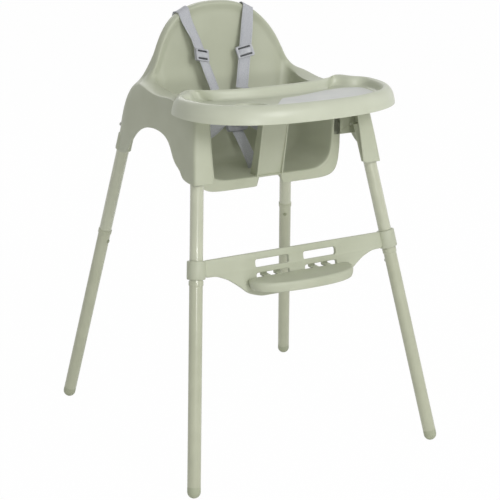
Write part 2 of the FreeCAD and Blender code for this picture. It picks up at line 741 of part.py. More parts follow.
def make_tray():
    """Moulded tray: a drafted skirt, a rolled rim, a well with a cup recess, hollow underneath."""
    bottom, top, floor = dim("tray_bottom"), dim("tray_top"), dim("well_floor")
    draft, rim = dim("tray_draft"), dim("tray_rim")
    per_height = draft / (top - bottom)
    shoulder = top - 8
    body = tray_block(bottom, shoulder, 0, per_height * (shoulder - bottom)).fuse(
        tray_block(shoulder, top, per_height * (shoulder - bottom), draft + 3))
    well_wall = draft + rim
    well = tray_block(floor, top + 1, well_wall + 6, well_wall - 3)
    body = body.cut(well)
    ceiling = floor - wall
    under = tray_block(bottom - 1, ceiling, wall, wall + per_height * (ceiling - bottom))
    body = body.cut(under)
    ring = tray_block(ceiling - 0.5, top - wall, wall + per_height * (ceiling - bottom), draft + wall + 3)
    ring = ring.cut(tray_block(ceiling - 1, top, well_wall + 6 - wall, well_wall - 3 - wall))
    body = body.cut(ring)
    cup = Part.makeCylinder(dim("cup_radius") + wall, dim("cup_depth") + wall,
                            Vector(dim("cup_x"), dim("cup_y"), floor - dim("cup_depth") - wall))
    body = body.fuse(cup).cut(Part.makeCylinder(dim("cup_radius"), dim("cup_depth") + 5,
                                                Vector(dim("cup_x"), dim("cup_y"), floor - dim("cup_depth"))))
    clear = dim("run_gap")
    for side in (-1, 1):
        for y in (LATCH_FRONT - 2.4, LATCH_FRONT + 30.4):
            guide = Part.makeBox(14, 2, 6.4 + GUIDE_RISE, Vector(outer_x(ceiling) + 3, y, ceiling - 6.4))
            lip = Part.makeBox(14, 4, 0.8, Vector(outer_x(ceiling) + 3, y - (0 if y < LATCH_FRONT else 2),
                                                  ceiling - 6.6))
            body = body.fuse([piece if side > 0 else piece.mirror(Vector(0, 0, 0), Vector(1, 0, 0))
                              for piece in (guide, lip)]).cut(well)
        low_x = side * (dim("bucket_half") + outer_x(dim("arm_height"))) / 2
        wide = outer_x(dim("arm_height")) - dim("bucket_half") + 6
        body = body.cut(Part.makeBox(wide, 200, 40, Vector(low_x - wide / 2, dim("tray_corner_y") - 45,
                                                           dim("arm_height") + clear - 40)))
    return body


tray = make_tray()
feature("tray", tray)


def make_mat():
    """Silicone place mat on the well floor, its free end slanting past the cup recess."""
    floor, thick = dim("well_floor") + 0.05, dim("mat_thickness")
    inset = dim("tray_draft") + dim("tray_rim") + 9
    plan = tray_block(floor, floor + thick, inset, inset)
    slanted = [(-8, 0), (-4, -152), (-55, -212), (-78, -268), (-86, -330), (300, -330), (300, 0)]
    right_side = Part.Face(wire([(x, y, floor - 1) for x, y in slanted])).extrude(Vector(0, 0, thick + 2))
    behind = Part.makeBox(600, 200, 20, Vector(-300, dim("tray_centre_y") + 8, floor - 5))
    return plan.common(right_side).cut(behind)


feature("tray_mat", make_mat())

# ---------------------------------------------------------------- tray latches


def make_latch(name, side):
    """Slide latch under the tray: a plate with a finger tab that is drawn outwards."""
    ceiling = dim("well_floor") - wall
    low = ceiling - 5.4
    inner = outer_x(low) + 2.2
    plate = Part.makeBox(11, 30, 5, Vector(inner, LATCH_FRONT, low))
    tab = Part.makeBox(3, 20, 2.4, Vector(inner + 8, LATCH_FRONT + 5, low - 2.2))
    tooth = Part.makeBox(8, 14, 5, Vector(inner - 1.2, LATCH_FRONT + 8, low))
    latch = plate.fuse([tab, tooth])
    if side < 0:
        latch = latch.mirror(Vector(0, 0, 0), Vector(1, 0, 0))
    return feature(name, latch)


def make_latch_spring(name, side):
    """Bent leaf spring between the latch plate and the tray's skirt."""
    ceiling = dim("well_floor") - wall
    inner = outer_x(ceiling - 5.4) + 13.6
    middle = LATCH_FRONT + 15
    leaf = [(inner, middle - 13), (inner + 0.8, middle - 13), (inner + 3.2, middle),
            (inner + 0.8, middle + 13), (inner, middle + 13), (inner + 2.4, middle)]
    face = Part.Face(wire([(side * x, y, ceiling - 4.6) for x, y in leaf]))
    return feature(name, face.extrude(Vector(0, 0, 3.6)))


for latch_name, latch_side in (("left", -1), ("right", 1)):
    make_latch("tray_latch_" + latch_name, latch_side)
    make_latch_spring("tray_latch_spring_" + latch_name, latch_side)

# ---------------------------------------------------------------- harness


def ribbon(points, widths, width, thickness):
    """Flat webbing through the points; widths gives the direction across the web at each point."""
    rings = []
    count = len(points)
    for index in range(count):
        place = Vector(*points[index])
        before = Vector(*points[max(index - 1, 0)])
        after = Vector(*points[min(index + 1, count - 1)])
        along = (after - before).normalize()
        across = Vector(*widths[index])
        across = (across - along * across.dot(along)).normalize() * (width / 2)
        normal = along.cross(across).normalize() * (thickness / 2)
        rings.append(Part.makePolygon([place + across + normal, place + across - normal,
                                       place - across - normal, place - across + normal,
                                       place + across + normal]))
    return Part.makeLoft(rings, True, True)


def mirrored_points(points, side):
    return [(side * x, y, z) for x, y, z in points]


# the straight run on which each shoulder adjuster slides
run_top = (60.0, 99.0, 806.0)
run_bottom = (31.0, 66.5, 700.0)
adjuster_at = 0.33


def rim_height(half_width):
    """Height of the backrest's rim where it is this far from the middle."""
    low, high = dim("shoulder"), dim("back_top_z")
    for _ in range(30):
        middle = (low + high) / 2
        low, high = (middle, high) if back_half_width(middle) > half_width else (low, middle)
    return (low + high) / 2


def make_shoulder_strap(name, side):
    """Webbing from its anchor behind the back, over the crown and down to the harness buckle."""
    crown = rim_height(dim("strap_half_x"))
    rim_y = back_y(crown)
    behind = rim_y + dim("rim_depth")
    path = [(dim("anchor_x"), behind + 3, 770), (82, behind + 4, crown - 16), (79, behind + 1.6, crown + 1.4),
            (dim("strap_half_x"), rim_y + 8, crown + 5), (73, rim_y - 3.4, crown + 0.5),
            (70, rim_y - 7, crown - 14),
            run_top, run_bottom]
    slope = (rim_height(64) - rim_height(88)) / -24
    across = [(1, 0, 0)] + [(1, 0, slope / 2)] + [(1, 0, slope)] * 3 + [(1, -0.1, 0)] + [(1, -0.25, 0.25)] * 2
    path = mirrored_points(path, side)
    across = [(x, side * y, side * z) for x, y, z in across]
    return feature(name, ribbon(path, across, dim("web_width"), dim("web_thickness")))


def run_placement(side, share):
    """Local Z up the strap's straight run, local X across the webbing."""
    top, bottom = (Vector(side * p[0], p[1], p[2]) for p in (run_top, run_bottom))
    up = (top - bottom).normalize()
    across = Vector(1, side * -0.25, side * 0.25)
    across = (across - up * across.dot(up)).normalize()
    facing = up.cross(across)
    return Placement(top + (bottom - top) * share, Rotation(across, facing, up, "XYZ"))


def make_adjuster(name, side):
    """Ladder-lock adjuster that slides on the strap's straight run."""
    gap = dim("strap_gap")
    slot_width, slot_depth = dim("web_width") + 2 * gap, dim("web_thickness") + 2 * gap
    wide = slot_width + 2 * dim("adjuster_rail")
    deep = slot_depth + 2 * dim("adjuster_skin")
    tall = dim("adjuster_length")
    outer = Part.makeBox(wide, deep, tall, Vector(-wide / 2, -deep / 2, -tall / 2))
    slot = Part.makeBox(slot_width, slot_depth, tall + 10,
                        Vector(-slot_width / 2, -slot_depth / 2, -tall / 2 - 5))
    adjuster = outer.cut(slot)
    window_width, window_height = slot_width - 3, 7
    for low in (-11, 3):
        window = Part.makeBox(window_width, 12, window_height, Vector(-window_width / 2, -12, low))
        adjuster = adjuster.cut(window)
    return feature(name, adjuster, run_placement(side, adjuster_at))


def make_tongue(name, side):
    """Harness tongue stitched to the end of one shoulder strap, its blade in the buckle."""
    place = run_placement(side, 1.0)
    wide, thick = dim("web_width") + 2 * dim("tongue_margin"), dim("tongue_thickness")
    narrow, blade_thick, blade_end = dim("blade_width"), thick - 1.4, 42
    plate = Part.makeBox(wide, thick, 12, Vector(-wide / 2, -thick / 2, -13.2))
    blade = Part.makeBox(narrow, blade_thick, dim("blade_length"),
                         Vector(-narrow / 2, -blade_thick / 2, -blade_end))
    return feature(name, plate.fuse(blade), place)


buckle_centre = Vector(0, 38, 640)
buckle_lean = 17.0
buckle_half_x, buckle_half_z = dim("buckle_half_width"), dim("buckle_half_height")
buckle_half_y = dim("buckle_depth")
buckle_placement = Placement(buckle_centre, Rotation(Vector(1, 0, 0), -buckle_lean))


def make_buckle():
    """Harness buckle: a front cover, a back cover, the release button and its spring."""
    gap, button_radius = dim("button_gap"), dim("button_radius")
    front = Part.makeBox(2 * buckle_half_x, buckle_half_y, 2 * buckle_half_z,
                         Vector(-buckle_half_x, -buckle_half_y, -buckle_half_z))
    vertical = [edge for edge in front.Edges if abs(edge.tangentAt(edge.FirstParameter).y) > 0.9]
    front = front.makeFillet(8, vertical)
    front = front.cut(Part.makeBox(2 * buckle_half_x - 4, buckle_half_y - 2, 2 * buckle_half_z - 4,
                                   Vector(-buckle_half_x + 2, -buckle_half_y + 2, -buckle_half_z + 2)))
    front = front.cut(Part.makeCylinder(button_radius + gap, 20, Vector(0, -15, -2), Vector(0, 1, 0)))
    mouth = Part.makeBox(40, 6, 10, Vector(-20, -4.5, buckle_half_z - 5))
    mouth_width = dim("web_width") + 2
    low_mouth = Part.makeBox(mouth_width, 4, 10, Vector(-mouth_width / 2, -4, -buckle_half_z - 5))
    feature("buckle_front", front.cut(mouth).cut(low_mouth), buckle_placement)
    back = Part.makeBox(2 * buckle_half_x, dim("buckle_back"), 2 * buckle_half_z,
                        Vector(-buckle_half_x, dim("fit_gap"), -buckle_half_z))
    vertical = [edge for edge in back.Edges if abs(edge.tangentAt(edge.FirstParameter).y) > 0.9]
    feature("buckle_back", back.makeFillet(8, vertical), buckle_placement)
    cap = Part.makeCylinder(button_radius, 4.4, Vector(0, -buckle_half_y - 1.4, -2), Vector(0, 1, 0))
    feature("buckle_button", cap, buckle_placement)
    spring = Part.makeCylinder(5, 2.4, Vector(0, -2.8, -2), Vector(0, 1, 0)).cut(
        Part.makeCylinder(4, 4, Vector(0, -3.5, -2), Vector(0, 1, 0)))
    feature("buckle_spring", spring, buckle_placement)


def make_crotch_strap():
    """Webbing up from the seat pan's slot to the underside of the buckle."""
    foot = buckle_placement.multVec(Vector(0, -2.2, -buckle_half_z + 1))
    path = [(0, -34.5, dim("pan_height") - 2.4), (0, -33, 563), (0, -26, 571), (0, -2, 594), tuple(foot)]
    return feature("crotch_strap", ribbon(path, [(1, 0, 0)] * 5, dim("web_width"), dim("web_thickness")))


def make_waist_strap(name, side):
    """Webbing from a slot in the bucket's back round the child's hip to the buckle."""
    end = buckle_placement.multVec(Vector(side * (buckle_half_x + 6.4), -1, 2))
    start_x, height = dim("waist_x"), dim("waist_height")
    path = [(start_x, wall_y(height) + 11, height), (start_x, 60, height), (96, 46, height + 1),
            (62, 36, 622), tuple(end)]
    path = [(side * abs(p[0]), p[1], p[2]) for p in path]
    return feature(name, ribbon(path, [(0, 0.1, 1)] * 5, dim("web_width"), dim("web_thickness")))


def make_anchors():
    """Strap keepers: behind the backrest, behind the bucket and under the seat pan."""
    for anchor_side, side_name in ((-1, "left"), (1, "right")):
        standoff = back_y(rim_height(dim("strap_half_x"))) + dim("rim_depth") + 1.2 - back_y(765) - wall - 1
        wide = dim("web_width") + 6
        keeper = Part.makeBox(wide, standoff, 14, Vector(-wide / 2, 0, 0))
        feature("shoulder_anchor_" + side_name, keeper,
                Placement(Vector(anchor_side * dim("anchor_x"), back_y(765) + wall + 1, 752), Rotation()))
        tall = dim("web_width") + 8
        waist = Part.makeBox(12, 3, tall, Vector(-6, 0, -tall / 2))
        feature("waist_anchor_" + side_name, waist,
                Placement(Vector(anchor_side * dim("waist_x"), wall_y(dim("waist_height")) + wall + 9.4,
                                 dim("waist_height")), Rotation()))
    wide = dim("web_width") + 9
    keeper = Part.makeBox(wide, 14, 3, Vector(-wide / 2, -41.5, dim("pan_height") - wall - 4.4))
    feature("crotch_anchor", keeper)


for strap_name, strap_side in (("left", -1), ("right", 1)):
    make_shoulder_strap("shoulder_strap_" + strap_name, strap_side)
    make_adjuster("shoulder_adjuster_" + strap_name, strap_side)
    make_tongue("shoulder_tongue_" + strap_name, strap_side)
    make_waist_strap("waist_strap_" + strap_name, strap_side)
make_buckle()
make_crotch_strap()
make_anchors()

screws = document.addObject("Part::Feature", "socket_screws")
screws.Shape = Part.makeCompound(make_socket_screws())
finish(screws, "socket_screws")

document.recompute()
failed = [item.Name for item in document.Objects if {"Invalid", "Error"} & set(item.State)]
if failed:
    raise RuntimeError("failed objects: " + ", ".join(failed))
for item in parts:
    if item.Shape.isNull() or not item.Shape.isValid():
        raise RuntimeError(item.Label + " has no valid shape")
os.makedirs("parts", exist_ok=True)
for item in parts:
    item.Shape.exportStep("parts/%s.step" % item.Label)
    print(item.Label, len(item.Shape.Solids), round(item.Shape.Volume))
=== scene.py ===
"""Baby high chair: moulded seat shell and tray, woven harness, footrest and enamelled tube legs."""
import contextlib
import json
import math

import bmesh
import bpy
from mathutils import Matrix, Vector


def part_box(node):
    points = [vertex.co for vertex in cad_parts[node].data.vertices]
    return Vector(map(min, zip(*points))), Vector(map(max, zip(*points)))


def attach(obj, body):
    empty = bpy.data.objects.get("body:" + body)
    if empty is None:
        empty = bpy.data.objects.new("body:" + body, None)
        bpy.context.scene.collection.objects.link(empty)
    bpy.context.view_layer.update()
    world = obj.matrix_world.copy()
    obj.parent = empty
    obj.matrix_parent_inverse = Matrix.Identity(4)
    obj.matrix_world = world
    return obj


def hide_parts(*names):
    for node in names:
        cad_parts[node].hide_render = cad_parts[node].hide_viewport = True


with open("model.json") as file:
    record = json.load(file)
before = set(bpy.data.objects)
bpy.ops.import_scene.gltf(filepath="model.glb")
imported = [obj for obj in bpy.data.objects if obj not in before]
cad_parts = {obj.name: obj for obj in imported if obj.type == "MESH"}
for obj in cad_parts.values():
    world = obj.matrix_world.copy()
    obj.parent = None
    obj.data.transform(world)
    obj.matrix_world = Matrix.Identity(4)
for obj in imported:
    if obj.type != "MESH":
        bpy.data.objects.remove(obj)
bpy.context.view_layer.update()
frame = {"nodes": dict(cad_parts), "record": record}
nodes = frame["nodes"]
MM = 0.001

# ------------------------------------------------------------------ materials


def linear(code):
    """An sRGB hex colour as linear red, green, blue and alpha."""
    channels = [int(code[i:i + 2], 16) / 255 for i in (1, 3, 5)]
    curve = [c / 12.92 if c <= 0.04045 else ((c + 0.055) / 1.055) ** 2.4 for c in channels]
    return (*curve, 1.0)


def add(tree, kind, links=None, **settings):
    """Adds a node; settings name its attributes or input sockets, links feed input sockets."""
    node = tree.nodes.new(kind)
    for key, value in settings.items():
        if hasattr(node, key) and key not in node.inputs:
            setattr(node, key, value)
        else:
            # i1, i2 and so on stand for input sockets by number
            number = key[0] == "i" and key[1:].isdigit()
            node.inputs[int(key[1:]) if number else key].default_value = value
    for key, source in (links or {}).items():
        tree.links.new(source, node.inputs[key])
    return node


def new_material(name, **shader):
    """A material with a Principled shader whose plain sockets are set."""
    material = bpy.data.materials.new(name)
    material.use_nodes = True
    tree = material.node_tree
    tree.nodes.clear()
    principled = add(tree, "ShaderNodeBsdfPrincipled")
    for key, value in shader.items():
        principled.inputs[key.replace("_", " ")].default_value = value
    output = add(tree, "ShaderNodeOutputMaterial")
    tree.links.new(principled.outputs[0], output.inputs["Surface"])
    return material, tree, principled


def mottled(tree, source, dark, light, size_mm):
    """A soft drift between two colours over patches of a real size."""
    noise = add(tree, "ShaderNodeTexNoise", {"Vector": source}, Scale=1 / (size_mm * MM), Detail=3.0)
    ramp = add(tree, "ShaderNodeValToRGB", {"Fac": noise.outputs["Fac"]})
    ramp.color_ramp.elements[0].position, ramp.color_ramp.elements[1].position = 0.35, 0.65
    ramp.color_ramp.elements[0].color, ramp.color_ramp.elements[1].color = linear(dark), linear(light)
    return ramp.outputs["Color"]


def moulded_polypropylene(name, dark, light, roughness):
    """Injection-moulded polypropylene: a fine spark-eroded grain that softens the highlight."""
    material, tree, shader = new_material(name, IOR=1.49, Specular_IOR_Level=0.42)
    place = add(tree, "ShaderNodeTexCoord").outputs["Object"]
    tree.links.new(mottled(tree, place, dark, light, 90), shader.inputs["Base Color"])
    # the real grain is near 0.15 mm; drawn at 0.9 mm so that it shows
    fine = add(tree, "ShaderNodeTexNoise", {"Vector": place}, Scale=1 / (0.9 * MM), Detail=2.0)
    wide = add(tree, "ShaderNodeTexNoise", {"Vector": place}, Scale=1 / (28 * MM), Detail=2.0)
    rough = add(tree, "ShaderNodeMapRange", {"Value": wide.outputs["Fac"]})
    rough.inputs["From Min"].default_value, rough.inputs["From Max"].default_value = 0.3, 0.7
    rough.inputs["To Min"].default_value = roughness - 0.04
    rough.inputs["To Max"].default_value = roughness + 0.05
    tree.links.new(rough.outputs["Result"], shader.inputs["Roughness"])
    bump = add(tree, "ShaderNodeBump", {"Height": fine.outputs["Fac"]}, Strength=0.10, Distance=0.12 * MM)
    tree.links.new(bump.outputs["Normal"], shader.inputs["Normal"])
    return material


def powder_coat(name, dark, light, roughness, coat):
    """Powder-coated steel tube: faint orange peel under a clear gloss, so highlights run sharp and long."""
    material, tree, shader = new_material(name, IOR=1.5, Coat_Weight=coat, Coat_Roughness=0.08)
    place = add(tree, "ShaderNodeTexCoord").outputs["Object"]
    tree.links.new(mottled(tree, place, dark, light, 60), shader.inputs["Base Color"])
    shader.inputs["Roughness"].default_value = roughness
    peel = add(tree, "ShaderNodeTexNoise", {"Vector": place}, Scale=1 / (3.2 * MM), Detail=1.0)
    bump = add(tree, "ShaderNodeBump", {"Height": peel.outputs["Fac"]}, Strength=0.06, Distance=0.15 * MM)
    tree.links.new(bump.outputs["Normal"], shader.inputs["Normal"])
    return material


def woven_webbing(name, dark, light, thread):
    """Woven polyester webbing: ribs across the strap, a herringbone shift along it, raised selvedges."""
    material, tree, shader = new_material(name, IOR=1.45, Roughness=0.78, Sheen_Weight=0.25,
                                          Sheen_Roughness=0.5)
    strap = add(tree, "ShaderNodeUVMap", uv_map="strap").outputs["UV"]
    parts = add(tree, "ShaderNodeSeparateXYZ", {"Vector": strap})
    # threads are near 0.6 mm in the real web; drawn at 1.5 mm
    pitch = 1.5 * MM
    across = add(tree, "ShaderNodeMath", {0: parts.outputs["X"]}, operation="PINGPONG", i1=3.2 * MM)
    slanted = add(tree, "ShaderNodeMath", {0: across.outputs[0], 1: parts.outputs["Y"]}, operation="ADD")
    phase = add(tree, "ShaderNodeMath", {0: slanted.outputs[0]}, operation="MULTIPLY",
                i1=2 * math.pi / pitch)
    rib = add(tree, "ShaderNodeMath", {0: phase.outputs[0]}, operation="SINE")
    warp_phase = add(tree, "ShaderNodeMath", {0: parts.outputs["X"]}, operation="MULTIPLY",
                     i1=2 * math.pi / (thread * MM))
    warp = add(tree, "ShaderNodeMath", {0: warp_phase.outputs[0]}, operation="SINE")
    weave = add(tree, "ShaderNodeMath", {0: rib.outputs[0], 1: warp.outputs[0]},
                operation="MULTIPLY_ADD", i2=0.5)
    fuzz = add(tree, "ShaderNodeTexNoise", {"Vector": strap}, Scale=1 / (5 * MM), Detail=3.0)
    blend = add(tree, "ShaderNodeMath", {0: weave.outputs[0], 1: fuzz.outputs["Fac"]}, operation="ADD")
    ramp = add(tree, "ShaderNodeValToRGB", {"Fac": blend.outputs[0]})
    ramp.color_ramp.elements[0].position, ramp.color_ramp.elements[1].position = 0.35, 1.3 / 1.6
    ramp.color_ramp.elements[0].color, ramp.color_ramp.elements[1].color = linear(dark), linear(light)
    tree.links.new(ramp.outputs["Color"], shader.inputs["Base Color"])
    bump = add(tree, "ShaderNodeBump", {"Height": blend.outputs[0]}, Strength=0.35, Distance=0.3 * MM)
    tree.links.new(bump.outputs["Normal"], shader.inputs["Normal"])
    return material


def moulded_acetal(name, dark, light, roughness):
    """Moulded acetal buckle plastic: smooth and slightly waxy, worn paler on its high spots."""
    material, tree, shader = new_material(name, IOR=1.48)
    place = add(tree, "ShaderNodeTexCoord").outputs["Object"]
    tree.links.new(mottled(tree, place, dark, light, 12), shader.inputs["Base Color"])
    shader.inputs["Roughness"].default_value = roughness
    fine = add(tree, "ShaderNodeTexNoise", {"Vector": place}, Scale=1 / (0.8 * MM))
    bump = add(tree, "ShaderNodeBump", {"Height": fine.outputs["Fac"]}, Strength=0.05, Distance=0.1 * MM)
    tree.links.new(bump.outputs["Normal"], shader.inputs["Normal"])
    return material


def silicone_rubber(name, dark, light):
    """Cast silicone sheet: a dry, even, matt surface with a faint pebble that grips a bowl."""
    material, tree, shader = new_material(name, IOR=1.41, Roughness=0.62, Sheen_Weight=0.12)
    place = add(tree, "ShaderNodeTexCoord").outputs["Object"]
    tree.links.new(mottled(tree, place, dark, light, 40), shader.inputs["Base Color"])
    pebble = add(tree, "ShaderNodeTexVoronoi", {"Vector": place}, Scale=1 / (2.2 * MM))
    bump = add(tree, "ShaderNodeBump", {"Height": pebble.outputs["Distance"]}, Strength=0.12,
               Distance=0.2 * MM)
    tree.links.new(bump.outputs["Normal"], shader.inputs["Normal"])
    return material


def drawn_steel(name, colour, roughness):
    """Bright drawn steel: fine lengthwise scratches spread the reflection."""
    material, tree, shader = new_material(name, Metallic=1.0)
    place = add(tree, "ShaderNodeTexCoord").outputs["Object"]
    stretched = add(tree, "ShaderNodeMapping", {"Vector": place})
    stretched.inputs["Scale"].default_value = (1, 1, 0.05)
    scratch = add(tree, "ShaderNodeTexNoise", {"Vector": stretched.outputs[0]}, Scale=1 / (0.5 * MM))
    tone = mottled(tree, place, colour, "#d8d8d4", 6)
    tree.links.new(tone, shader.inputs["Base Color"])
    spread = add(tree, "ShaderNodeMapRange", {"Value": scratch.outputs["Fac"]})
    spread.inputs["To Min"].default_value, spread.inputs["To Max"].default_value = roughness, roughness + 0.2
    tree.links.new(spread.outputs["Result"], shader.inputs["Roughness"])
    return material


shell_plastic = moulded_polypropylene("moulded_polypropylene_sage", "#b7bba5", "#bec2ad", 0.42)
tray_plastic = moulded_polypropylene("moulded_polypropylene_sage_tray", "#c2c6b2", "#c8ccb9", 0.34)
foot_plastic = moulded_polypropylene("moulded_polypropylene_foot_cap", "#a8ad94", "#b0b49c", 0.5)
upper_enamel = powder_coat("powder_coated_tube_gloss", "#bcbfa8", "#c3c6af", 0.24, 0.8)
lower_enamel = powder_coat("powder_coated_tube_satin", "#b4b79f", "#bbbea6", 0.38, 0.3)
webbing = woven_webbing("woven_polyester_webbing", "#9fa1a8", "#c6c8cd", 2.2)
adjuster_plastic = moulded_acetal("moulded_acetal_silver", "#a9abb0", "#bcbec3", 0.3)
buckle_plastic = moulded_acetal("moulded_acetal_buckle", "#9b9ca3", "#aaabb2", 0.4)
keeper_plastic = moulded_acetal("moulded_acetal_black", "#35373a", "#45474a", 0.5)
mat_silicone = silicone_rubber("cast_silicone_mat", "#d6d8d6", "#dddfdc")
button_plastic = moulded_acetal("moulded_acetal_sage", "#8d9276", "#999e82", 0.4)
spring_steel = drawn_steel("drawn_spring_steel", "#9c9c9a", 0.3)

SLOT_MATERIALS = {
    "shell_plastic": shell_plastic, "tray_plastic": tray_plastic, "cap_plastic": foot_plastic,
    "upper_tube": upper_enamel, "lower_tube": lower_enamel, "snap_button": button_plastic,
    "spring_steel": spring_steel, "screw_steel": spring_steel, "webbing": webbing,
    "buckle_plastic": buckle_plastic, "keeper_plastic": keeper_plastic, "mat_silicone": mat_silicone,
}


def dress(piece, material):
    """The piece's only material."""
    piece.data.materials.clear()
    piece.data.materials.append(material)


for entry in frame["record"]["subparts"]:
    dress(nodes[entry["node"]], SLOT_MATERIALS[entry["material_slot"]])

# ------------------------------------------------------------------ mesh helpers


def in_scene(name, content):
    """A new object in the scene."""
    made = bpy.data.objects.new(name, content)
    bpy.context.scene.collection.objects.link(made)
    return made


@contextlib.contextmanager
def editing(piece):
    """Opens the piece's mesh for editing and writes it back."""
    work = bmesh.new()
    work.from_mesh(piece.data)
    yield work
    work.to_mesh(piece.data)
    work.free()


def rectangle(left, bottom, right, top):
    return [(left, bottom), (right, bottom), (right, top), (left, top)]


def block(half_x, half_y):
    return rectangle(-half_x, -half_y, half_x, half_y)


def ring_faces(rows, size):
    """Faces between closed rings of equal size, one after another."""
    return [(row * size + step, row * size + (step + 1) % size, (row + 1) * size + (step + 1) % size,
             (row + 1) * size + step) for row in range(rows - 1) for step in range(size)]


def make_mesh(name, points_mm, faces):
    """A smooth mesh object from points in millimetres."""
    mesh = bpy.data.meshes.new(name)
    mesh.from_pydata([tuple(c * MM for c in point) for point in points_mm], [], faces)
    mesh.validate()
    mesh.shade_smooth()
    return in_scene(name, mesh)


def tidy(piece, distance_mm=0.01):
    """Merges doubles and turns the faces of an open sheet or closed solid one way."""
    with editing(piece) as work:
        bmesh.ops.remove_doubles(work, verts=work.verts, dist=distance_mm * MM)
        bmesh.ops.recalc_face_normals(work, faces=work.faces)


def sharpen(piece, places, crease):
    """Creases the edges whose two ends are both among the places."""
    with editing(piece) as work:
        layer = work.edges.layers.float.new("crease_edge")
        for edge in work.edges:
            ends = [min((vert.co - place).length for place in places) for vert in edge.verts]
            if max(ends) < 0.1 * MM:
                edge[layer] = crease


def modifier(piece, kind, **settings):
    """Adds a modifier with these settings."""
    made = piece.modifiers.new(kind.lower(), kind)
    for key, value in settings.items():
        setattr(made, key, value)


def plain_mesh(piece):
    """The piece as its modifiers or its curve settings leave it."""
    graph = bpy.context.evaluated_depsgraph_get()
    return bpy.data.meshes.new_from_object(piece.evaluated_get(graph), depsgraph=graph)


def bake(piece):
    """Turns the piece's modifiers into plain mesh."""
    mesh = plain_mesh(piece)
    piece.modifiers.clear()
    piece.data = mesh


def join(name, pieces):
    """One object from several."""
    work = bmesh.new()
    for piece in pieces:
        work.from_mesh(piece.data)
        bpy.data.objects.remove(piece)
    mesh = bpy.data.meshes.new(name)
    work.to_mesh(mesh)
    work.free()
    mesh.shade_smooth()
    return in_scene(name, mesh)


def place_piece(piece, material, body, slot, *replaced):
    """Gives a finished piece its material, its body and the CAD nodes it stands for."""
    dress(piece, material)
    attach(piece, body)
    if replaced:
        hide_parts(*replaced)


def mix(a, b, share):
    """The place that lies a share of the way from one to the other."""
    return tuple(p + (q - p) * share for p, q in zip(a, b))


# ------------------------------------------------------------------ seat shell

PAN_HEIGHT, BUCKET_HALF, BUCKET_FRONT, BACK_FOOT_Y = 557.0, 143.0, -101.0, 66.7
PLAN_CORNER, PAN_ROUND = 48.0, 40.0
SHELL_WALL = 3.0


def wall_foot(kind, value):
    """Plan place and inward direction of the bucket wall."""
    centre = (BUCKET_HALF - PLAN_CORNER, BACK_FOOT_Y - PLAN_CORNER)
    if kind == "side":
        return (BUCKET_HALF, value), (-1, 0)
    if kind == "back":
        return (value, BACK_FOOT_Y), (0, -1)
    angle = math.radians(value)
    spread = (math.cos(angle), math.sin(angle))
    place = (centre[0] + PLAN_CORNER * spread[0], centre[1] + PLAN_CORNER * spread[1])
    return place, (-spread[0], -spread[1])


# one row per station from the front column round to the crown: the wall's kind (none ahead of the
# bucket) and its y, angle or x; the wall's top, the outer edge and the skirt's foot; how far the rim
# is rolled; how far the leg column swells
STATIONS = [
    (None, 0, (158, -146, 712), (163, -150.5, 711), (169, -182, 577), 0, 0),
    (None, 0, (154, -139, 712), (177, -151, 711), (192, -182.5, 577), 0, 0),
    (None, 0, (152, -128, 712), (190, -150, 711), (210, -181.5, 577), 0, 0),
    (None, 0, (150, -115, 712), (193.5, -145, 711), (213, -176.5, 577), 0, 0),
    ("side", -101, (150, -101, 712), (193.5, -118, 711), (212.5, -130, 578), 0, 0),
    ("side", -82, (150, -82, 712), (193.5, -94, 711), (210.5, -121, 593), 0, 0),
    ("side", -64, (150, -64, 712.5), (193.5, -72, 712), (209.5, -101, 599.5), 0, 0),
    ("side", -48, (150, -48, 717), (193, -52, 717), (208.5, -85, 611), 0, 0),
    ("side", -32, (150, -32, 719), (193, -34, 718.5), (206, -71, 629), 0, 0),
    ("side", -14, (150, -14, 716.5), (193, -14, 715.5), (203.8, -50, 645.5), 0, 0),
    ("side", 3, (150.5, 3, 715), (193, 8, 714.5), (203, -14, 652), 0, 0),
    ("side", 18.7, (151.5, 21, 715.5), (193, 27, 715), (203.4, 22, 651), 0, 0),
    ("arc", 12, (153.5, 42, 717.5), (193, 47, 717.5), (205, 58, 643), 0, 0.6),
    ("arc", 24, (157, 62, 721), (192.5, 67, 720.5), (207.5, 87, 622), 0, 3),
    ("arc", 36, (160.5, 79, 727), (191, 86, 723), (210.5, 107, 593), 0.2, 7),
    ("arc", 45, (163.5, 90, 734), (189, 98, 723.5), (212, 120, 577), 0.5, 12),
    ("arc", 52, (163, 95, 741), (185, 107, 723.5), (212.5, 148, 577), 0.8, 20),
    ("arc", 58, (160, 98, 749), (176, 115, 725.5), (208, 170, 577), 1, 23),
    ("arc", 64, (155, 99, 758), (164, 114, 733), (197, 179.5, 577), 1, 24),
    ("arc", 70, (150, 100, 770), (155, 114, 749), (181, 177.5, 577), 1, 18),
    ("arc", 80, (139, 104.5, 792), (143, 118, 789), None, 1, 0),
    ("arc", 90, (122.5, 112, 820), (126, 127, 818.5), None, 1, 0),
    ("back", 80, (100, 119.5, 844), (102.5, 135, 844), None, 1, 0),
    ("back", 62, (78, 122.5, 858), (79.5, 138, 858.5), None, 1, 0),
    ("back", 42, (53, 124.5, 867.5), (54, 139.5, 868.4), None, 1, 0),
    ("back", 24, (29, 125.3, 872.0), (29.5, 140.3, 873.0), None, 1, 0),
    ("back", 0, (0, 125.6, 873.4), (0, 140.6, 874.4), None, 1, 0),
]
FIRST_WALL = 4
# heights along a skirt, as shares of its fall
SKIRT_SHARES = (0.06, 0.16, 0.34, 0.58, 0.8, 0.955, 1.0)
CREASE_STATION, CREASE = 12, 0.75
RIM_ROLL = 17.0
DISH_DEPTH, DISH_HALF = 7.0, 150.0
WALL_SHARES = (0.16, 0.34, 0.52, 0.7, 0.86, 0.955, 1.0)
ROUND_ANGLES = (0, 32, 62, 90)


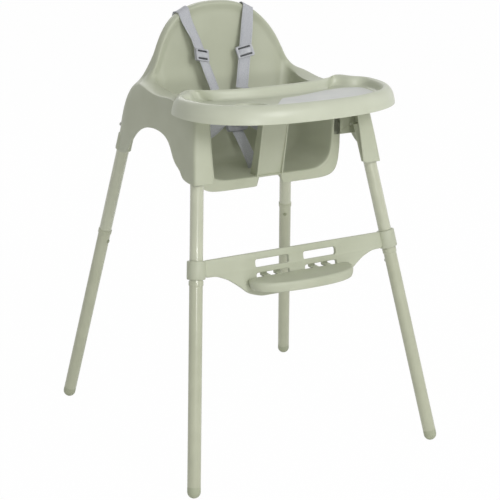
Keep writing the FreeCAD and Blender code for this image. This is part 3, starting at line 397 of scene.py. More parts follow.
def wall_profile(kind, value, top):
    """Points of one section from the pan's edge up the bucket wall to its top."""
    foot, inward = wall_foot(kind, value)
    points = []
    for angle in ROUND_ANGLES:
        turn = math.radians(angle)
        reach = PAN_ROUND * (1 - math.sin(turn))
        points.append((foot[0] + inward[0] * reach, foot[1] + inward[1] * reach,
                       PAN_HEIGHT + PAN_ROUND * (1 - math.cos(turn))))
    base = points[-1]
    for share in WALL_SHARES:
        point = mix(base, top, share)
        dish = 0.0
        if kind != "side":
            # the reclined panel is hollowed a little towards the middle
            dish = DISH_DEPTH * math.sin(math.pi * share) * (1 - min(1, abs(point[0]) / DISH_HALF) ** 2)
        points.append((point[0], point[1] + dish, point[2]))
    return points


def towards_middle(top):
    """Unit direction from the rim towards the middle of the backrest."""
    return Vector((-top[0], 0, 700 - top[2])).normalized()


def rolled_top(top, roll):
    """The inner edge of the rim, where the dished panel meets its roll."""
    return tuple(Vector(top) + towards_middle(top) * (RIM_ROLL * roll) + Vector((0, 1.5 * roll, 0)))


def top_profile(top, edge, foot, roll, swell):
    """Points over the armrest or rim and down the skirt or round the rim's back."""
    top, edge = Vector(top), Vector(edge)
    span = edge - top
    lift = Vector((0, 0, 1.2))
    flat = [top + span * (3.0 / span.length) + lift * 0.9, top + span * 0.5 + lift * 1.5]
    inward = towards_middle(top)
    rolled = [top + inward * 7.5 + Vector((0, -2.6, 0)), top + inward * 2.0 + Vector((0, -2.8, 0))]
    points = [a.lerp(b, roll) for a, b in zip(flat, rolled)]
    if not foot:
        points += [top + span * 0.3 - inward * 0.6, edge, edge + inward * 5 + Vector((0, 1.2, 0))]
        return [tuple(point) for point in points]
    points += [edge - span * (3.0 / span.length) + lift * (0.9 * (1 - roll)), edge]
    fall = Vector(foot) - edge
    for share in SKIRT_SHARES:
        bulge = math.sin(math.pi * share) * 1.6
        column = swell * max(0.0, math.sin(math.pi * share ** 0.6)) * (1 - share) ** 0.25
        points.append(edge + fall * share + Vector((bulge + column * 0.34, column * 0.94, column * 0.2)))
    return [tuple(point) for point in points]


def make_shell_sheet():
    """The right half of the shell's outer sheet as a control cage."""
    points, rows, faces = [], [], []

    def put(point):
        points.append(point)
        return len(points) - 1

    for kind, value, top, edge, foot, roll, swell in STATIONS:
        inner = rolled_top(top, roll)
        wall = [put(p) for p in wall_profile(kind, value, inner)] if kind else [put(inner)]
        over = [put(p) for p in top_profile(top, edge, foot, roll, swell)]
        rows.append((wall, over))
    for index in range(len(rows) - 1):
        (wall_a, over_a), (wall_b, over_b) = rows[index], rows[index + 1]
        if index >= FIRST_WALL:
            for row in range(len(wall_a) - 1):
                faces.append((wall_a[row], wall_b[row], wall_b[row + 1], wall_a[row + 1]))
        strip_a, strip_b = [wall_a[-1]] + over_a, [wall_b[-1]] + over_b
        for row in range(min(len(strip_a), len(strip_b)) - 1):
            faces.append((strip_a[row], strip_b[row], strip_b[row + 1], strip_a[row + 1]))
    # seat pan: a grid ahead of the rear curve, joined to it by one corner face
    columns = [station[1] for station in STATIONS if station[0] == "back"][::-1]
    side_rows = [index for index, station in enumerate(STATIONS) if station[0] == "side"]
    grid = []
    for index in side_rows:
        y = STATIONS[index][1]
        grid.append([put((x, y, PAN_HEIGHT)) for x in columns] + [rows[index][0][0]])
    for a, b in zip(grid, grid[1:]):
        for column in range(len(a) - 1):
            faces.append((a[column], b[column], b[column + 1], a[column + 1]))
    back_rows = [index for index, station in enumerate(STATIONS) if station[0] == "back"][::-1]
    rear = [rows[index][0][0] for index in back_rows]
    last = grid[-1]
    for column in range(len(columns) - 1):
        faces.append((last[column], rear[column], rear[column + 1], last[column + 1]))
    arc_feet = [rows[index][0][0] for index, station in enumerate(STATIONS) if station[0] == "arc"]
    faces.append(tuple([last[-2], rear[-1]] + arc_feet[::-1] + [last[-1]]))
    return points, faces, rows, grid


FLANGE_HALF, FLANGE_BOTTOM, FLANGE_ROUND, LOBE_HALF = 164.0, 536.0, 36.0, 29.0


def make_shell():
    """The whole shell: both halves of its sheet, the front flange and the wall's thickness."""
    points, faces, rows, grid = make_shell_sheet()
    # front flange, turned down from the bucket's front edge
    inner = grid[0][1:-1] + rows[FIRST_WALL][0]
    outer_a, outer_b = [], []
    for number in inner:
        x, y, z = points[number]
        if x < BUCKET_HALF - PAN_ROUND - 0.5:
            low = (max(x, LOBE_HALF + 1), FLANGE_BOTTOM)
        else:
            angle = math.atan2(max(0.0, x - (BUCKET_HALF - PAN_ROUND)), max(0.0, PAN_HEIGHT + PAN_ROUND - z))
            if z >= PAN_HEIGHT + PAN_ROUND:
                low = (FLANGE_HALF, z)
            else:
                centre = (FLANGE_HALF - FLANGE_ROUND, FLANGE_BOTTOM + FLANGE_ROUND)
                low = (centre[0] + FLANGE_ROUND * math.sin(angle), centre[1] - FLANGE_ROUND * math.cos(angle))
        for group, share in ((outer_a, 0.14), (outer_b, 1.0)):
            points.append((x + (low[0] - x) * share, y, z + (low[1] - z) * share))
            group.append(len(points) - 1)
    middle = []
    for a, b in zip(outer_a, outer_b):
        points.append(mix(points[a], points[b], 0.85))
        middle.append(len(points) - 1)
    for first, second in ((inner, outer_a), (outer_a, middle), (middle, outer_b)):
        for row in range(len(inner) - 1):
            faces.append((first[row], first[row + 1], second[row + 1], second[row]))
    count = len(points)
    points += [(-x, y, z) for x, y, z in points]
    faces += [tuple(number + count for number in reversed(face)) for face in faces]
    sheet = make_mesh("seat_shell_moulding", points, faces)
    ridge = [Vector(points[number]) * MM for number in rows[CREASE_STATION][1][3:-2]]
    ridge += [Vector((-point.x, point.y, point.z)) for point in ridge]
    tidy(sheet)
    sharpen(sheet, ridge, CREASE)
    # the sheet's upper and outer faces are the moulding's outside
    on_pan = Vector((20, -50, PAN_HEIGHT)) * MM
    with editing(sheet) as work:
        pan = min(work.faces, key=lambda face: (face.calc_center_median() - on_pan).length)
        if pan.normal.z < 0:
            bmesh.ops.reverse_faces(work, faces=work.faces)
    modifier(sheet, "SUBSURF", levels=2, render_levels=2)
    modifier(sheet, "SOLIDIFY", thickness=SHELL_WALL * MM, offset=-1.0, use_even_offset=False)
    bake(sheet)
    return sheet


shell = make_shell()
place_piece(shell, shell_plastic, "chair", "shell_plastic", "seat_shell")

# ------------------------------------------------------------------ plates, turned pieces and stitches


def rounded(outline, setback, steps=5):
    """The outline with each corner eased, starting this far from the corner."""
    eased = []
    count = len(outline)
    for index, corner in enumerate(outline):
        corner = Vector(corner)
        before, after = Vector(outline[index - 1]), Vector(outline[(index + 1) % count])
        start = corner + (before - corner).normalized() * min(setback, (before - corner).length * 0.48)
        end = corner + (after - corner).normalized() * min(setback, (after - corner).length * 0.48)
        for step in range(steps + 1):
            share = step / steps
            point = start * (1 - share) ** 2 + corner * 2 * share * (1 - share) + end * share ** 2
            eased.append((point.x, point.y))
    return eased


def flipped(outline):
    """The outline mirrored across its vertical axis, running the same way round."""
    return [(-x, y) for x, y in reversed(outline)]


def circle(centre, radius, count=40):
    """A round outline."""
    turns = [2 * math.pi * index / count for index in range(count)]
    return [(centre[0] + radius * math.cos(a), centre[1] + radius * math.sin(a)) for a in turns]


def axes(origin, across, upward):
    """A place in millimetres whose local X and Y are the two directions."""
    across = Vector(across).normalized()
    normal = across.cross(Vector(upward)).normalized()
    upward = normal.cross(across)
    columns = Matrix((across, upward, normal)).transposed().to_4x4()
    return Matrix.Translation(Vector(origin) * MM) @ columns


def crisp(piece, angle=38):
    """Smooth faces with sharp edges where the surface turns hard."""
    piece.data.shade_smooth()
    piece.data.set_sharp_from_angle(angle=math.radians(angle))


def moulded_plate(name, outline, place, depth, edge, holes=()):
    """A flat moulding with rounded edges, centred on its local plane; holes run the other way round."""
    curve = bpy.data.curves.new(name, "CURVE")
    curve.dimensions, curve.fill_mode = "2D", "BOTH"
    curve.extrude, curve.bevel_depth = (depth / 2 - edge) * MM, edge * MM
    curve.offset, curve.bevel_resolution = -edge * MM, 2
    for run in [outline] + [hole[::-1] for hole in holes]:
        spline = curve.splines.new("POLY")
        spline.points.add(len(run) - 1)
        for point, (x, y) in zip(spline.points, run):
            point.co = (x * MM, y * MM, 0, 1)
        spline.use_cyclic_u = True
    source = in_scene(name + "_outline", curve)
    mesh = plain_mesh(source)
    bpy.data.objects.remove(source)
    mesh.materials.clear()
    mesh.transform(place)
    piece = in_scene(name, mesh)
    tidy(piece, 0.002)
    crisp(piece)
    return piece


def turned_ring(name, profile, place, count=56):
    """A closed profile (radius, height) turned about the place's local Z."""
    points, faces = [], []
    for step in range(count):
        angle = 2 * math.pi * step / count
        points += [(r * math.cos(angle), r * math.sin(angle), h) for r, h in profile]
    size = len(profile)
    for step in range(count):
        low, high = step * size, (step + 1) % count * size
        for row in range(size):
            after = (row + 1) % size
            faces.append((low + row, high + row, high + after, low + after))
    piece = make_mesh(name, points, faces)
    piece.data.transform(place)
    tidy(piece, 0.002)
    crisp(piece)
    return piece


def stitch_tree(thread_material):
    """Thread stitches laid end to end along an edge path, each a small flattened bead."""
    tree = bpy.data.node_groups.new("box_stitching", "GeometryNodeTree")
    tree.interface.new_socket("Path", in_out="INPUT", socket_type="NodeSocketGeometry")
    for label in ("Pitch", "Stitch length", "Thread radius"):
        tree.interface.new_socket(label, in_out="INPUT", socket_type="NodeSocketFloat")
    tree.interface.new_socket("Stitches", in_out="OUTPUT", socket_type="NodeSocketGeometry")
    given = add(tree, "NodeGroupInput")
    curve = add(tree, "GeometryNodeMeshToCurve", {"Mesh": given.outputs["Path"]})
    spaced = add(tree, "GeometryNodeResampleCurve",
                 {"Curve": curve.outputs[0], "Length": given.outputs["Pitch"]}, mode="LENGTH")
    bead = add(tree, "GeometryNodeMeshUVSphere", Segments=6, Rings=4, Radius=1.0)
    size = add(tree, "ShaderNodeCombineXYZ", {"X": given.outputs["Thread radius"],
                                              "Y": given.outputs["Thread radius"],
                                              "Z": given.outputs["Stitch length"]})
    tangent = add(tree, "GeometryNodeInputTangent")
    turn = add(tree, "FunctionNodeAlignRotationToVector", {"Vector": tangent.outputs[0]}, axis="Z")
    laid = add(tree, "GeometryNodeInstanceOnPoints", {
        "Points": spaced.outputs[0], "Instance": bead.outputs[0], "Rotation": turn.outputs[0],
        "Scale": size.outputs[0]})
    solid = add(tree, "GeometryNodeRealizeInstances", {"Geometry": laid.outputs[0]})
    coloured = add(tree, "GeometryNodeSetMaterial", {"Geometry": solid.outputs[0]}, Material=thread_material)
    result = add(tree, "NodeGroupOutput")
    tree.links.new(coloured.outputs[0], result.inputs[0])
    return tree


sewing_thread = moulded_acetal("bonded_nylon_thread", "#8c8e97", "#9fa1aa", 0.6)
STITCHING = stitch_tree(sewing_thread)
STITCH_PITCH, STITCH_LENGTH, THREAD_RADIUS = 3.2, 1.15, 0.32


def stitch_line(name, path_mm):
    """Stitches along an open path."""
    piece = make_mesh(name, path_mm, [])
    piece.data.edges.add(len(path_mm) - 1)
    for index, edge in enumerate(piece.data.edges):
        edge.vertices = (index, index + 1)
    made = piece.modifiers.new("stitching", "NODES")
    made.node_group = STITCHING
    sizes = {"Pitch": STITCH_PITCH, "Stitch length": STITCH_LENGTH, "Thread radius": THREAD_RADIUS}
    for item in STITCHING.interface.items_tree:
        if item.in_out == "INPUT" and item.name in sizes:
            made[item.identifier] = sizes[item.name] * MM
    bake(piece)
    return piece


# ------------------------------------------------------------------ crotch post, front webs, leg sockets

UPRIGHT_X = axes((0, 0, 0), (0, 1, 0), (0, 0, 1))
POST_HALF, POST_FOOT_Y, POST_LEAN, POST_TOP, POST_RETURN = 30.0, -97.0, 0.228, 700.0, 22.0


def post_face(height):
    """y of the post's front face at a height."""
    return POST_FOOT_Y - POST_LEAN * (height - PAN_HEIGHT)


def make_crotch_post():
    """Leaning web with a return flange down each side."""
    low = PAN_HEIGHT - SHELL_WALL
    slope = math.hypot(1, POST_LEAN)
    place = axes((0, post_face(low) + SHELL_WALL / 2, low), (1, 0, 0), (0, -POST_LEAN, 1))
    reach = (POST_TOP - low) * slope
    web = rounded(rectangle(-POST_HALF, 0, POST_HALF, reach), 5)
    pieces = [moulded_plate("post_web", web, place, SHELL_WALL, 0.8)]
    side = [(post_face(low) - 3.5, low - 10), (post_face(low) - 1, low - 10),
            (post_face(low) + POST_RETURN, low + 1),
            (post_face(POST_TOP) + POST_RETURN * 0.7, POST_TOP), (post_face(POST_TOP), POST_TOP)]
    for x in (-POST_HALF + SHELL_WALL / 2, POST_HALF - SHELL_WALL / 2):
        shift = Matrix.Translation(Vector((x * MM, 0, 0)))
        pieces.append(moulded_plate("post_return", rounded(side, 6), shift @ UPRIGHT_X, SHELL_WALL, 0.8))
    place_piece(join("crotch_post", pieces), shell_plastic, "chair", "shell_plastic")


def make_front_web(name, side):
    """Thin wall that ties the bucket's front edge to the leg column, with its screw hole."""
    outline = rounded([(150, 621), (206, 621), (192, 710), (146, 710)], 4)
    hole = circle((190, 638), 3.2, 24)
    if side < 0:
        outline, hole = flipped(outline), flipped(hole)
    place = axes((0, BUCKET_FRONT + SHELL_WALL / 2, 0), (1, 0, 0), (0, 0, 1))
    web = moulded_plate(name, outline, place, SHELL_WALL, 0.6, [hole])
    place_piece(web, shell_plastic, "chair", "shell_plastic")


FOOT_CENTRE, SOCKET_CENTRE = Vector((277.0, 293.0, 12.2)), Vector((196.5, 161.5, 577.0))
TUBE_RADIUS, SOCKET_RADIUS, SOCKET_DEPTH, REAR_SOCKET_DEPTH = 13.0, 16.4, 78.0, 34.0


def on_leg(side, depth, height):
    """A place on a leg's axis at a height, local Z up the tube."""
    flip = Vector((side, depth, 1))
    foot, socket = FOOT_CENTRE * flip, SOCKET_CENTRE * flip
    along = (socket - foot).normalized()
    centre = foot + along * ((height - foot.z) / along.z)
    return Matrix.Translation(centre * MM) @ along.to_track_quat("Z", "Y").to_matrix().to_4x4()


def make_leg_sockets():
    """The four moulded sleeves that take the tube ends inside the columns."""
    bore, outer = TUBE_RADIUS + 0.1, SOCKET_RADIUS
    sleeves = []
    for depth, length in ((-1, SOCKET_DEPTH), (1, REAR_SOCKET_DEPTH)):
        profile = [(bore, 0.8), (bore + 0.8, 0), (outer - 0.8, 0), (outer, 0.8), (outer, length - 1),
                   (outer - 1, length), (bore, length)]
        sleeves += [turned_ring("sleeve", profile, on_leg(side, depth, SOCKET_CENTRE.z)) for side in (-1, 1)]
    place_piece(join("leg_sockets", sleeves), shell_plastic, "chair", "shell_plastic")


make_crotch_post()
make_front_web("front_web_left", -1)
make_front_web("front_web_right", 1)
make_leg_sockets()

# ------------------------------------------------------------------ tray

TRAY_HALF, TRAY_REACH, TRAY_CENTRE_Y, TRAY_POWER = 230.7, 155.4, -144.6, 2.4
TRAY_CORNER_X, TRAY_CORNER_Y, TRAY_BEND, TRAY_BELLY_Y = 199.0, -60.0, 12.0, -95.0
WELL_FLOOR, NOTCH_HEIGHT = 718.5, 714.4
CUP_CENTRE, CUP_RADIUS, CUP_DEPTH = (-97.0, -193.0), 37.0, 9.6
TRAY_WALL = 2.4

# inset from the tray's edge and height: up the convex outer face, over the rim, down into the well
TRAY_PROFILE = [(0.0, 704.6), (0.1, 706.4), (0.9, 713.0), (2.6, 720.5), (5.6, 727.8), (9.8, 733.6),
                (14.4, 737.2), (18.6, 738.2), (22.0, 736.6), (24.6, 732.0), (26.4, 725.6), (28.6, 720.6),
                (32.4, 718.6), (36.0, WELL_FLOOR)]


def tray_plan(inset, front_count=20):
    """Plan of the tray at an inset from its edge: front curve, sides, rear corners and belly hollow."""
    half, reach = TRAY_HALF - inset, TRAY_REACH - inset
    right = []
    for index in range(front_count + 1):
        angle = -math.pi / 2 + math.pi / 2 * index / front_count
        right.append((half * math.cos(angle) ** (2 / TRAY_POWER),
                      TRAY_CENTRE_Y - reach * abs(math.sin(angle)) ** (2 / TRAY_POWER)))
    corner_x, corner_y = TRAY_CORNER_X - inset, TRAY_CORNER_Y - inset
    bend = TRAY_BEND + inset * 0.35
    centre = (corner_x - bend, corner_y - bend)
    corner = [(centre[0] + bend * math.cos(math.radians(a)), centre[1] + bend * math.sin(math.radians(a)))
              for a in (20, 40, 60, 80, 100)]
    start, end = Vector((half, TRAY_CENTRE_Y)), Vector(corner[0])
    lean = (Vector((half, TRAY_CENTRE_Y + 42)), end + Vector((9, -25)))
    for step in range(1, 7):
        share = step / 7
        point = (start * (1 - share) ** 3 + lean[0] * 3 * share * (1 - share) ** 2
                 + lean[1] * 3 * share ** 2 * (1 - share) + end * share ** 3)
        right.append((point.x, point.y))
    right += corner
    belly = TRAY_BELLY_Y - inset
    for share in (0.78, 0.6, 0.4, 0.2, 0.0):
        right.append((corner_x * share, belly + (corner_y - belly) * share ** 2.6))
    return right + [(-x, y) for x, y in reversed(right[1:-1])]


def over_armrest(x, y):
    """Whether the tray's rear skirt passes over an armrest here."""
    return 138 < abs(x) < 196.5 and y > -112


def cup_profile():
    """Radius and height from the well floor's round lip down to the middle of the cup recess."""
    floor = WELL_FLOOR - CUP_DEPTH
    lip = [(4.4, WELL_FLOOR), (3.4, WELL_FLOOR + 1.0), (1.8, WELL_FLOOR + 1.5), (0.4, WELL_FLOOR + 0.8),
           (-0.6, WELL_FLOOR - 1.4)]
    recess = [(-1.4, floor + 3), (-2.6, floor + 0.9), (-5, floor), (-14, floor), (-26, floor)]
    return [(CUP_RADIUS + wider, height) for wider, height in lip + recess]


def close_well(work):
    """Fills the well between the rim's inner edge and the cup recess, and makes the recess."""
    well_edge = [edge for edge in work.edges if edge.is_boundary
                 and min(vert.co.z for vert in edge.verts) > (WELL_FLOOR - 0.2) * MM
                 and max(abs(vert.co.x) for vert in edge.verts) < (TRAY_HALF - 20) * MM]
    segments, previous = 64, None
    for radius, height in cup_profile():
        loop = [work.verts.new((x * MM, y * MM, height * MM))
                for x, y in circle(CUP_CENTRE, radius, segments)]
        pairs = [(step, (step + 1) % segments) for step in range(segments)]
        if previous is None:
            lip_edges = [work.edges.new((loop[step], loop[after])) for step, after in pairs]
        else:
            for step, after in pairs:
                work.faces.new((previous[step], previous[after], loop[after], loop[step]))
        previous = loop
    work.faces.new(previous)
    bmesh.ops.triangle_fill(work, use_beauty=True, use_dissolve=False, edges=well_edge + lip_edges)
    bmesh.ops.recalc_face_normals(work, faces=work.faces)
    recess = Vector((*CUP_CENTRE, WELL_FLOOR - CUP_DEPTH)) * MM
    lowest = min(work.faces, key=lambda face: (face.calc_center_median() - recess).length)
    if lowest.normal.z < 0:
        bmesh.ops.reverse_faces(work, faces=work.faces)


def make_tray_body():
    """The tray's moulding: a rim all round, a flat well filled in between it and the cup recess."""
    points = []
    for inset, height in TRAY_PROFILE:
        for x, y in tray_plan(inset):
            lift = max(0.0, NOTCH_HEIGHT - height) if over_armrest(x, y) else 0.0
            # the rim swells a little over the two rear corners
            swell = 1.4 * math.exp(-((abs(x) - 176) ** 2 + (y + 78) ** 2) / 900) if height > 730 else 0.0
            points.append((x, y, height + lift + min(swell, 1.3)))
    rim = make_mesh("tray_moulding", points, ring_faces(len(TRAY_PROFILE), len(tray_plan(0))))
    modifier(rim, "SUBSURF", levels=2, render_levels=2, boundary_smooth="ALL")
    bake(rim)
    with editing(rim) as work:
        close_well(work)
    modifier(rim, "SOLIDIFY", thickness=TRAY_WALL * MM, offset=-1.0, use_even_offset=False)
    bake(rim)
    crisp(rim, 55)
    place_piece(rim, tray_plastic, "tray", "tray_plastic", "tray")


def make_mat():
    """Silicone place mat: its back edge dips across the well and its free end slants past the cup recess."""
    rim = tray_plan(38.5)
    right_end = [point for point in rim[:len(rim) // 2]
                 if point[1] < -126 and (point[0] > 150 or point[1] < -170)]
    front_left = [point for point in rim[len(rim) // 2:] if point[0] > -74 and point[1] < -200]
    outline = right_end + [(162, -119.5), (136, -120.5), (110, -124), (70, -136), (31, -149), (-4, -152),
                           (-26, -178), (-48, -206), (-62, -236)] + front_left
    place = axes((0, 0, WELL_FLOOR + 0.85), (1, 0, 0), (0, 1, 0))
    mat = moulded_plate("silicone_mat", rounded(outline, 9, 4), place, 1.5, 0.55)
    place_piece(mat, mat_silicone, "tray", "mat_silicone", "tray_mat")


make_tray_body()
make_mat()

# ------------------------------------------------------------------ footrest

BAR_BASE, COLLAR_BOTTOM = 345.0, 397.0
LEAN = math.atan2(FOOT_CENTRE.y - SOCKET_CENTRE.y, SOCKET_CENTRE.z - FOOT_CENTRE.z)
BAR_UP = (0, math.sin(LEAN), math.cos(LEAN))
BAR_DEPTH = 9.0


def front_leg_y(height):
    """y of the front legs' axes at a height."""
    return -FOOT_CENTRE.y + math.tan(LEAN) * (height - FOOT_CENTRE.z)


def make_footrest_bar():
    """Cross bar with two rows of slots, strengthened by a lip, and a collar round each front tube."""
    place = axes((0, front_leg_y(BAR_BASE), BAR_BASE), (1, 0, 0), BAR_UP)
    low = [(86, 5), (112, 13.5), (132, 31), (153, 46.5), (178, 57), (205, 58)]
    outline = rounded([(-x, y) for x, y in reversed(low)] + low + [(205, 91), (-205, 91)], 9)
    slots = []
    for left, right, bottom, top in ((17, 92, 61.5, 77), (18, 92, 36, 50.5)):
        slot = rounded(rectangle(left, bottom, right, top), 5)
        slots += [slot, flipped(slot)]
    pieces = [moulded_plate("bar_web", outline, place, BAR_DEPTH, 1.8, slots)]
    bore, outer, tall = TUBE_RADIUS + 0.1, 18.0, 36.0
    lower = [(bore, 1), (bore + 1, 0), (outer - 2.2, 0), (outer - 0.6, 0.7), (outer, 2.2)]
    profile = lower + [(radius, tall - height) for radius, height in reversed(lower)]
    for side in (-1, 1):
        pieces.append(turned_ring("collar", profile, on_leg(side, -1, COLLAR_BOTTOM + 4)))
    place_piece(join("footrest_crossbar", pieces), shell_plastic, "chair", "shell_plastic", "footrest_bar")


PLATE_HALF, PLATE_REACH, PLATE_APRON = 118.0, 60.0, 19.0
HINGE_HEIGHT = COLLAR_BOTTOM - 9.5


def plate_ring(inset, height, rear):
    """The foot plate's plan at one height: a shallow bow from end to end, straight along the bar."""
    count, power = 22, 2.5
    ring = []
    for index in range(count + 1):
        angle = math.pi * index / count
        across, ahead = math.cos(angle), math.sin(angle)
        ring.append(((PLATE_HALF - inset) * math.copysign(abs(across) ** (2 / power), across),
                     rear - (PLATE_REACH - inset) * abs(ahead) ** (2 / power), height))
    return ring + [(x, rear, height) for x in (-88, -48, 0, 48, 88)]


def make_foot_plate():
    """D-shaped foot plate: a rounded top edge, an apron, and tabs that hang in the bar's lower slots."""
    top = HINGE_HEIGHT + 2
    rear = front_leg_y(HINGE_HEIGHT) - BAR_DEPTH / 2 / math.cos(LEAN) - 2.0
    levels = [(12, 0.0), (5.0, -0.2), (1.8, -1.4), (0.2, -4.0), (0.4, -9.0), (3.0, -PLATE_APRON + 2.5),
              (5.0, -PLATE_APRON)]
    points = []
    for inset, drop in levels:
        points += plate_ring(inset, top + drop, rear + drop * math.tan(LEAN) - inset * 0.35)
    ring = len(plate_ring(0, 0, 0))
    faces = ring_faces(len(levels), ring) + [tuple(range(ring))]
    shell_piece = make_mesh("foot_plate_skin", points, faces)
    tidy(shell_piece)
    modifier(shell_piece, "SUBSURF", levels=2, render_levels=2)
    modifier(shell_piece, "SOLIDIFY", thickness=2.6 * MM, offset=-1.0)
    bake(shell_piece)
    pieces = [shell_piece]
    behind = BAR_DEPTH / 2 / math.cos(LEAN) + 2.6
    start = rear - 2 - front_leg_y(HINGE_HEIGHT)
    tab = [(start, -2), (behind + 3, -2), (behind + 5, 9), (behind + 2, 9), (behind, 2), (start, 2)]
    for centre in (-70, -40, 40, 70):
        shift = Matrix.Translation(Vector((centre, front_leg_y(HINGE_HEIGHT), HINGE_HEIGHT)) * MM)
        pieces.append(moulded_plate("tab", rounded(tab, 1.2, 3), shift @ UPRIGHT_X, 14, 0.6))
    place_piece(join("foot_plate", pieces), shell_plastic, "footrest_plate", "shell_plastic",
                "footrest_plate")


make_footrest_bar()
make_foot_plate()

# ------------------------------------------------------------------ harness

WEB_WIDTH, WEB_THICKNESS = 25.0, 1.6
SEAM_OFFSET = WEB_WIDTH / 2 - 3
RUN_TOP, RUN_BOTTOM, ADJUSTER_AT = Vector((60.0, 99.0, 806.0)), Vector((31.0, 66.5, 700.0)), 0.33


def smooth_path(points, widths, per_span=7):
    """Places and width directions eased through the given points."""
    places, across = [], []
    count = len(points)
    for index in range(count - 1):
        a, b, c, d = (Vector(points[min(max(index + k, 0), count - 1)]) for k in (-1, 0, 1, 2))
        for step in range(per_span):
            t = step / per_span
            places.append(0.5 * ((2 * b) + (c - a) * t + (2 * a - 5 * b + 4 * c - d) * t ** 2
                                 + (3 * b - a - 3 * c + d) * t ** 3))
            across.append(Vector(widths[index]).lerp(Vector(widths[index + 1]), t))
    return places + [Vector(points[-1])], across + [Vector(widths[-1])]


def make_strap(name, points, widths, replaced, stitched=()):
    """Flat webbing with soft selvedges, a map along it and rows of stitches where it is sewn."""
    places, across = smooth_path(points, widths)
    half, thick = WEB_WIDTH / 2, WEB_THICKNESS / 2
    upper = [(-half + 0.5, thick * 0.95), (-half * 0.5, thick), (0, thick), (half * 0.5, thick),
             (half - 0.5, thick * 0.95), (half, thick * 0.4)]
    section = upper + [(half, -thick * 0.4)] + [(u, -v) for u, v in reversed(upper[:5])]
    section += [(-half, -thick * 0.4), (-half, thick * 0.4)]
    size = len(section)
    points_mm, along_web, frames = [], [], []
    travelled = 0.0
    for index, place in enumerate(places):
        before, after = places[max(index - 1, 0)], places[min(index + 1, len(places) - 1)]
        along = (after - before).normalized()
        side = (across[index] - along * across[index].dot(along)).normalized()
        normal = along.cross(side).normalized()
        travelled += (place - places[max(index - 1, 0)]).length
        frames.append((place, side, normal))
        along_web += [travelled] * size
        points_mm += [tuple(place + side * u + normal * v) for u, v in section]
    last = (len(places) - 1) * size
    faces = ring_faces(len(places), size) + [tuple(range(size)), tuple(range(last + size - 1, last - 1, -1))]
    strap = make_mesh(name, points_mm, faces)
    web_map = strap.data.uv_layers.new(name="strap")
    for loop in strap.data.loops:
        u = section[loop.vertex_index % size][0]
        web_map.data[loop.index].uv = (u * MM, along_web[loop.vertex_index] * MM)
    tidy(strap, 0.0005)
    crisp(strap, 60)
    place_piece(strap, webbing, "chair", "webbing", replaced)
    for number, (first, second, offset, face) in enumerate(stitched):
        line = [frames[row][0] + frames[row][1] * offset + frames[row][2] * (face * (thick + 0.1))
                for row in range(round(first * (len(frames) - 1)), round(second * (len(frames) - 1)) + 1)]
        sewn = stitch_line("%s_stitches_%d" % (name, number), [tuple(p) for p in line])
        place_piece(sewn, sewing_thread, "chair", "webbing")


def run_frame(side, share):
    """A place on the shoulder strap's straight run: local X across it, Y up it, Z towards the child."""
    top, bottom = RUN_TOP * Vector((side, 1, 1)), RUN_BOTTOM * Vector((side, 1, 1))
    return axes(top + (bottom - top) * share, (1, side * -0.25, side * 0.25), top - bottom)


def make_shoulder_strap(name, side):
    """Web from its keeper behind the backrest over the rim and down to its tongue."""
    path = [(84, 144, 768), (82, 143.6, 820), (78.6, 141.6, 844), (76.8, 139.4, 856.5), (76.2, 131.5, 861),
            (75.2, 122.5, 859.8), (74.2, 118.2, 853.5), (70, 112.5, 836)]
    run = [tuple(RUN_TOP.lerp(RUN_BOTTOM, share)) for share in (0, 0.12, 0.4, 0.7, 1)]
    lean = (1, 0, -0.52)
    widths = [(1, 0, 0), (1, 0, -0.1), (1, 0, -0.4), lean, lean, lean, (1, -0.04, -0.34), (1, -0.12, -0.06)]
    widths += [(1, -0.25, 0.25)] * len(run)
    path = [(side * x, y, z) for x, y, z in path + run]
    widths = [(x, side * y, side * z) for x, y, z in widths]
    # the web is doubled back through its adjuster, so a seam runs down each edge of the doubled part
    seams = [(0.64, 0.98, offset, face) for offset in (-SEAM_OFFSET, SEAM_OFFSET) for face in (-1, 1)]
    make_strap("shoulder_web_" + name, path, widths, "shoulder_strap_" + name, seams)


def make_adjuster(name, side):
    """Ladder-lock adjuster: a front frame with two slots and a cross bar, on a back plate."""
    body = "shoulder_adjuster_" + name
    place = run_frame(side, ADJUSTER_AT)
    outline = rounded(block(18, 13), 4)
    slots = [rounded(rectangle(-13, low, 13, low + 3.6), 1.4) for low in (-9.6, 6.0)]
    front = moulded_plate("frame", outline, place @ Matrix.Translation((0, 0, 2.25 * MM)), 2.6, 0.9, slots)
    bar = rounded(block(12.6, 5.2), 1.6)
    raised = moulded_plate("bar", bar, place @ Matrix.Translation((0, 0, 2.9 * MM)), 2.0, 0.8)
    back = moulded_plate("back", outline, place @ Matrix.Translation((0, 0, -2.3 * MM)), 1.5, 0.6)
    rails = [moulded_plate("rail", rounded(rectangle(x - 2, -12, x + 2, 12), 1.5), place, 4.2, 0.5)
             for x in (-15.4, 15.4)]
    place_piece(join("ladder_lock_" + name, [front, raised, back] + rails), adjuster_plastic, body,
                "keeper_plastic", body)
    # painted shade: a thin black sheet just behind the front frame, so that its two slots read dark as if
    # shaded inside
    painted_slot_shade = moulded_plate("ladder_lock_shade_" + name, rounded(block(13.4, 10), 2),
                          place @ Matrix.Translation((0, 0, 1.1 * MM)), 0.3, 0.1)
    place_piece(painted_slot_shade, keeper_plastic, body, "keeper_plastic")


def make_tongue(name, side):
    """Tongue sewn to the strap's end, with a ribbed grip and its blade in the buckle."""
    place = run_frame(side, 1.0)
    grip = rounded(rectangle(-15, -13.2, 15, -1.2), 4)
    slot = rounded(rectangle(-12.8, -5.4, 12.8, -2.9), 1)
    blade = rounded(rectangle(-4.5, -42, 4.5, -12), 2)
    pieces = [moulded_plate("grip", grip, place, 4, 1.2, [slot]),
              moulded_plate("blade", blade, place, 2.6, 0.6)]
    place_piece(join("shoulder_clip_" + name, pieces), buckle_plastic, "chair", "buckle_plastic",
                "shoulder_tongue_" + name)


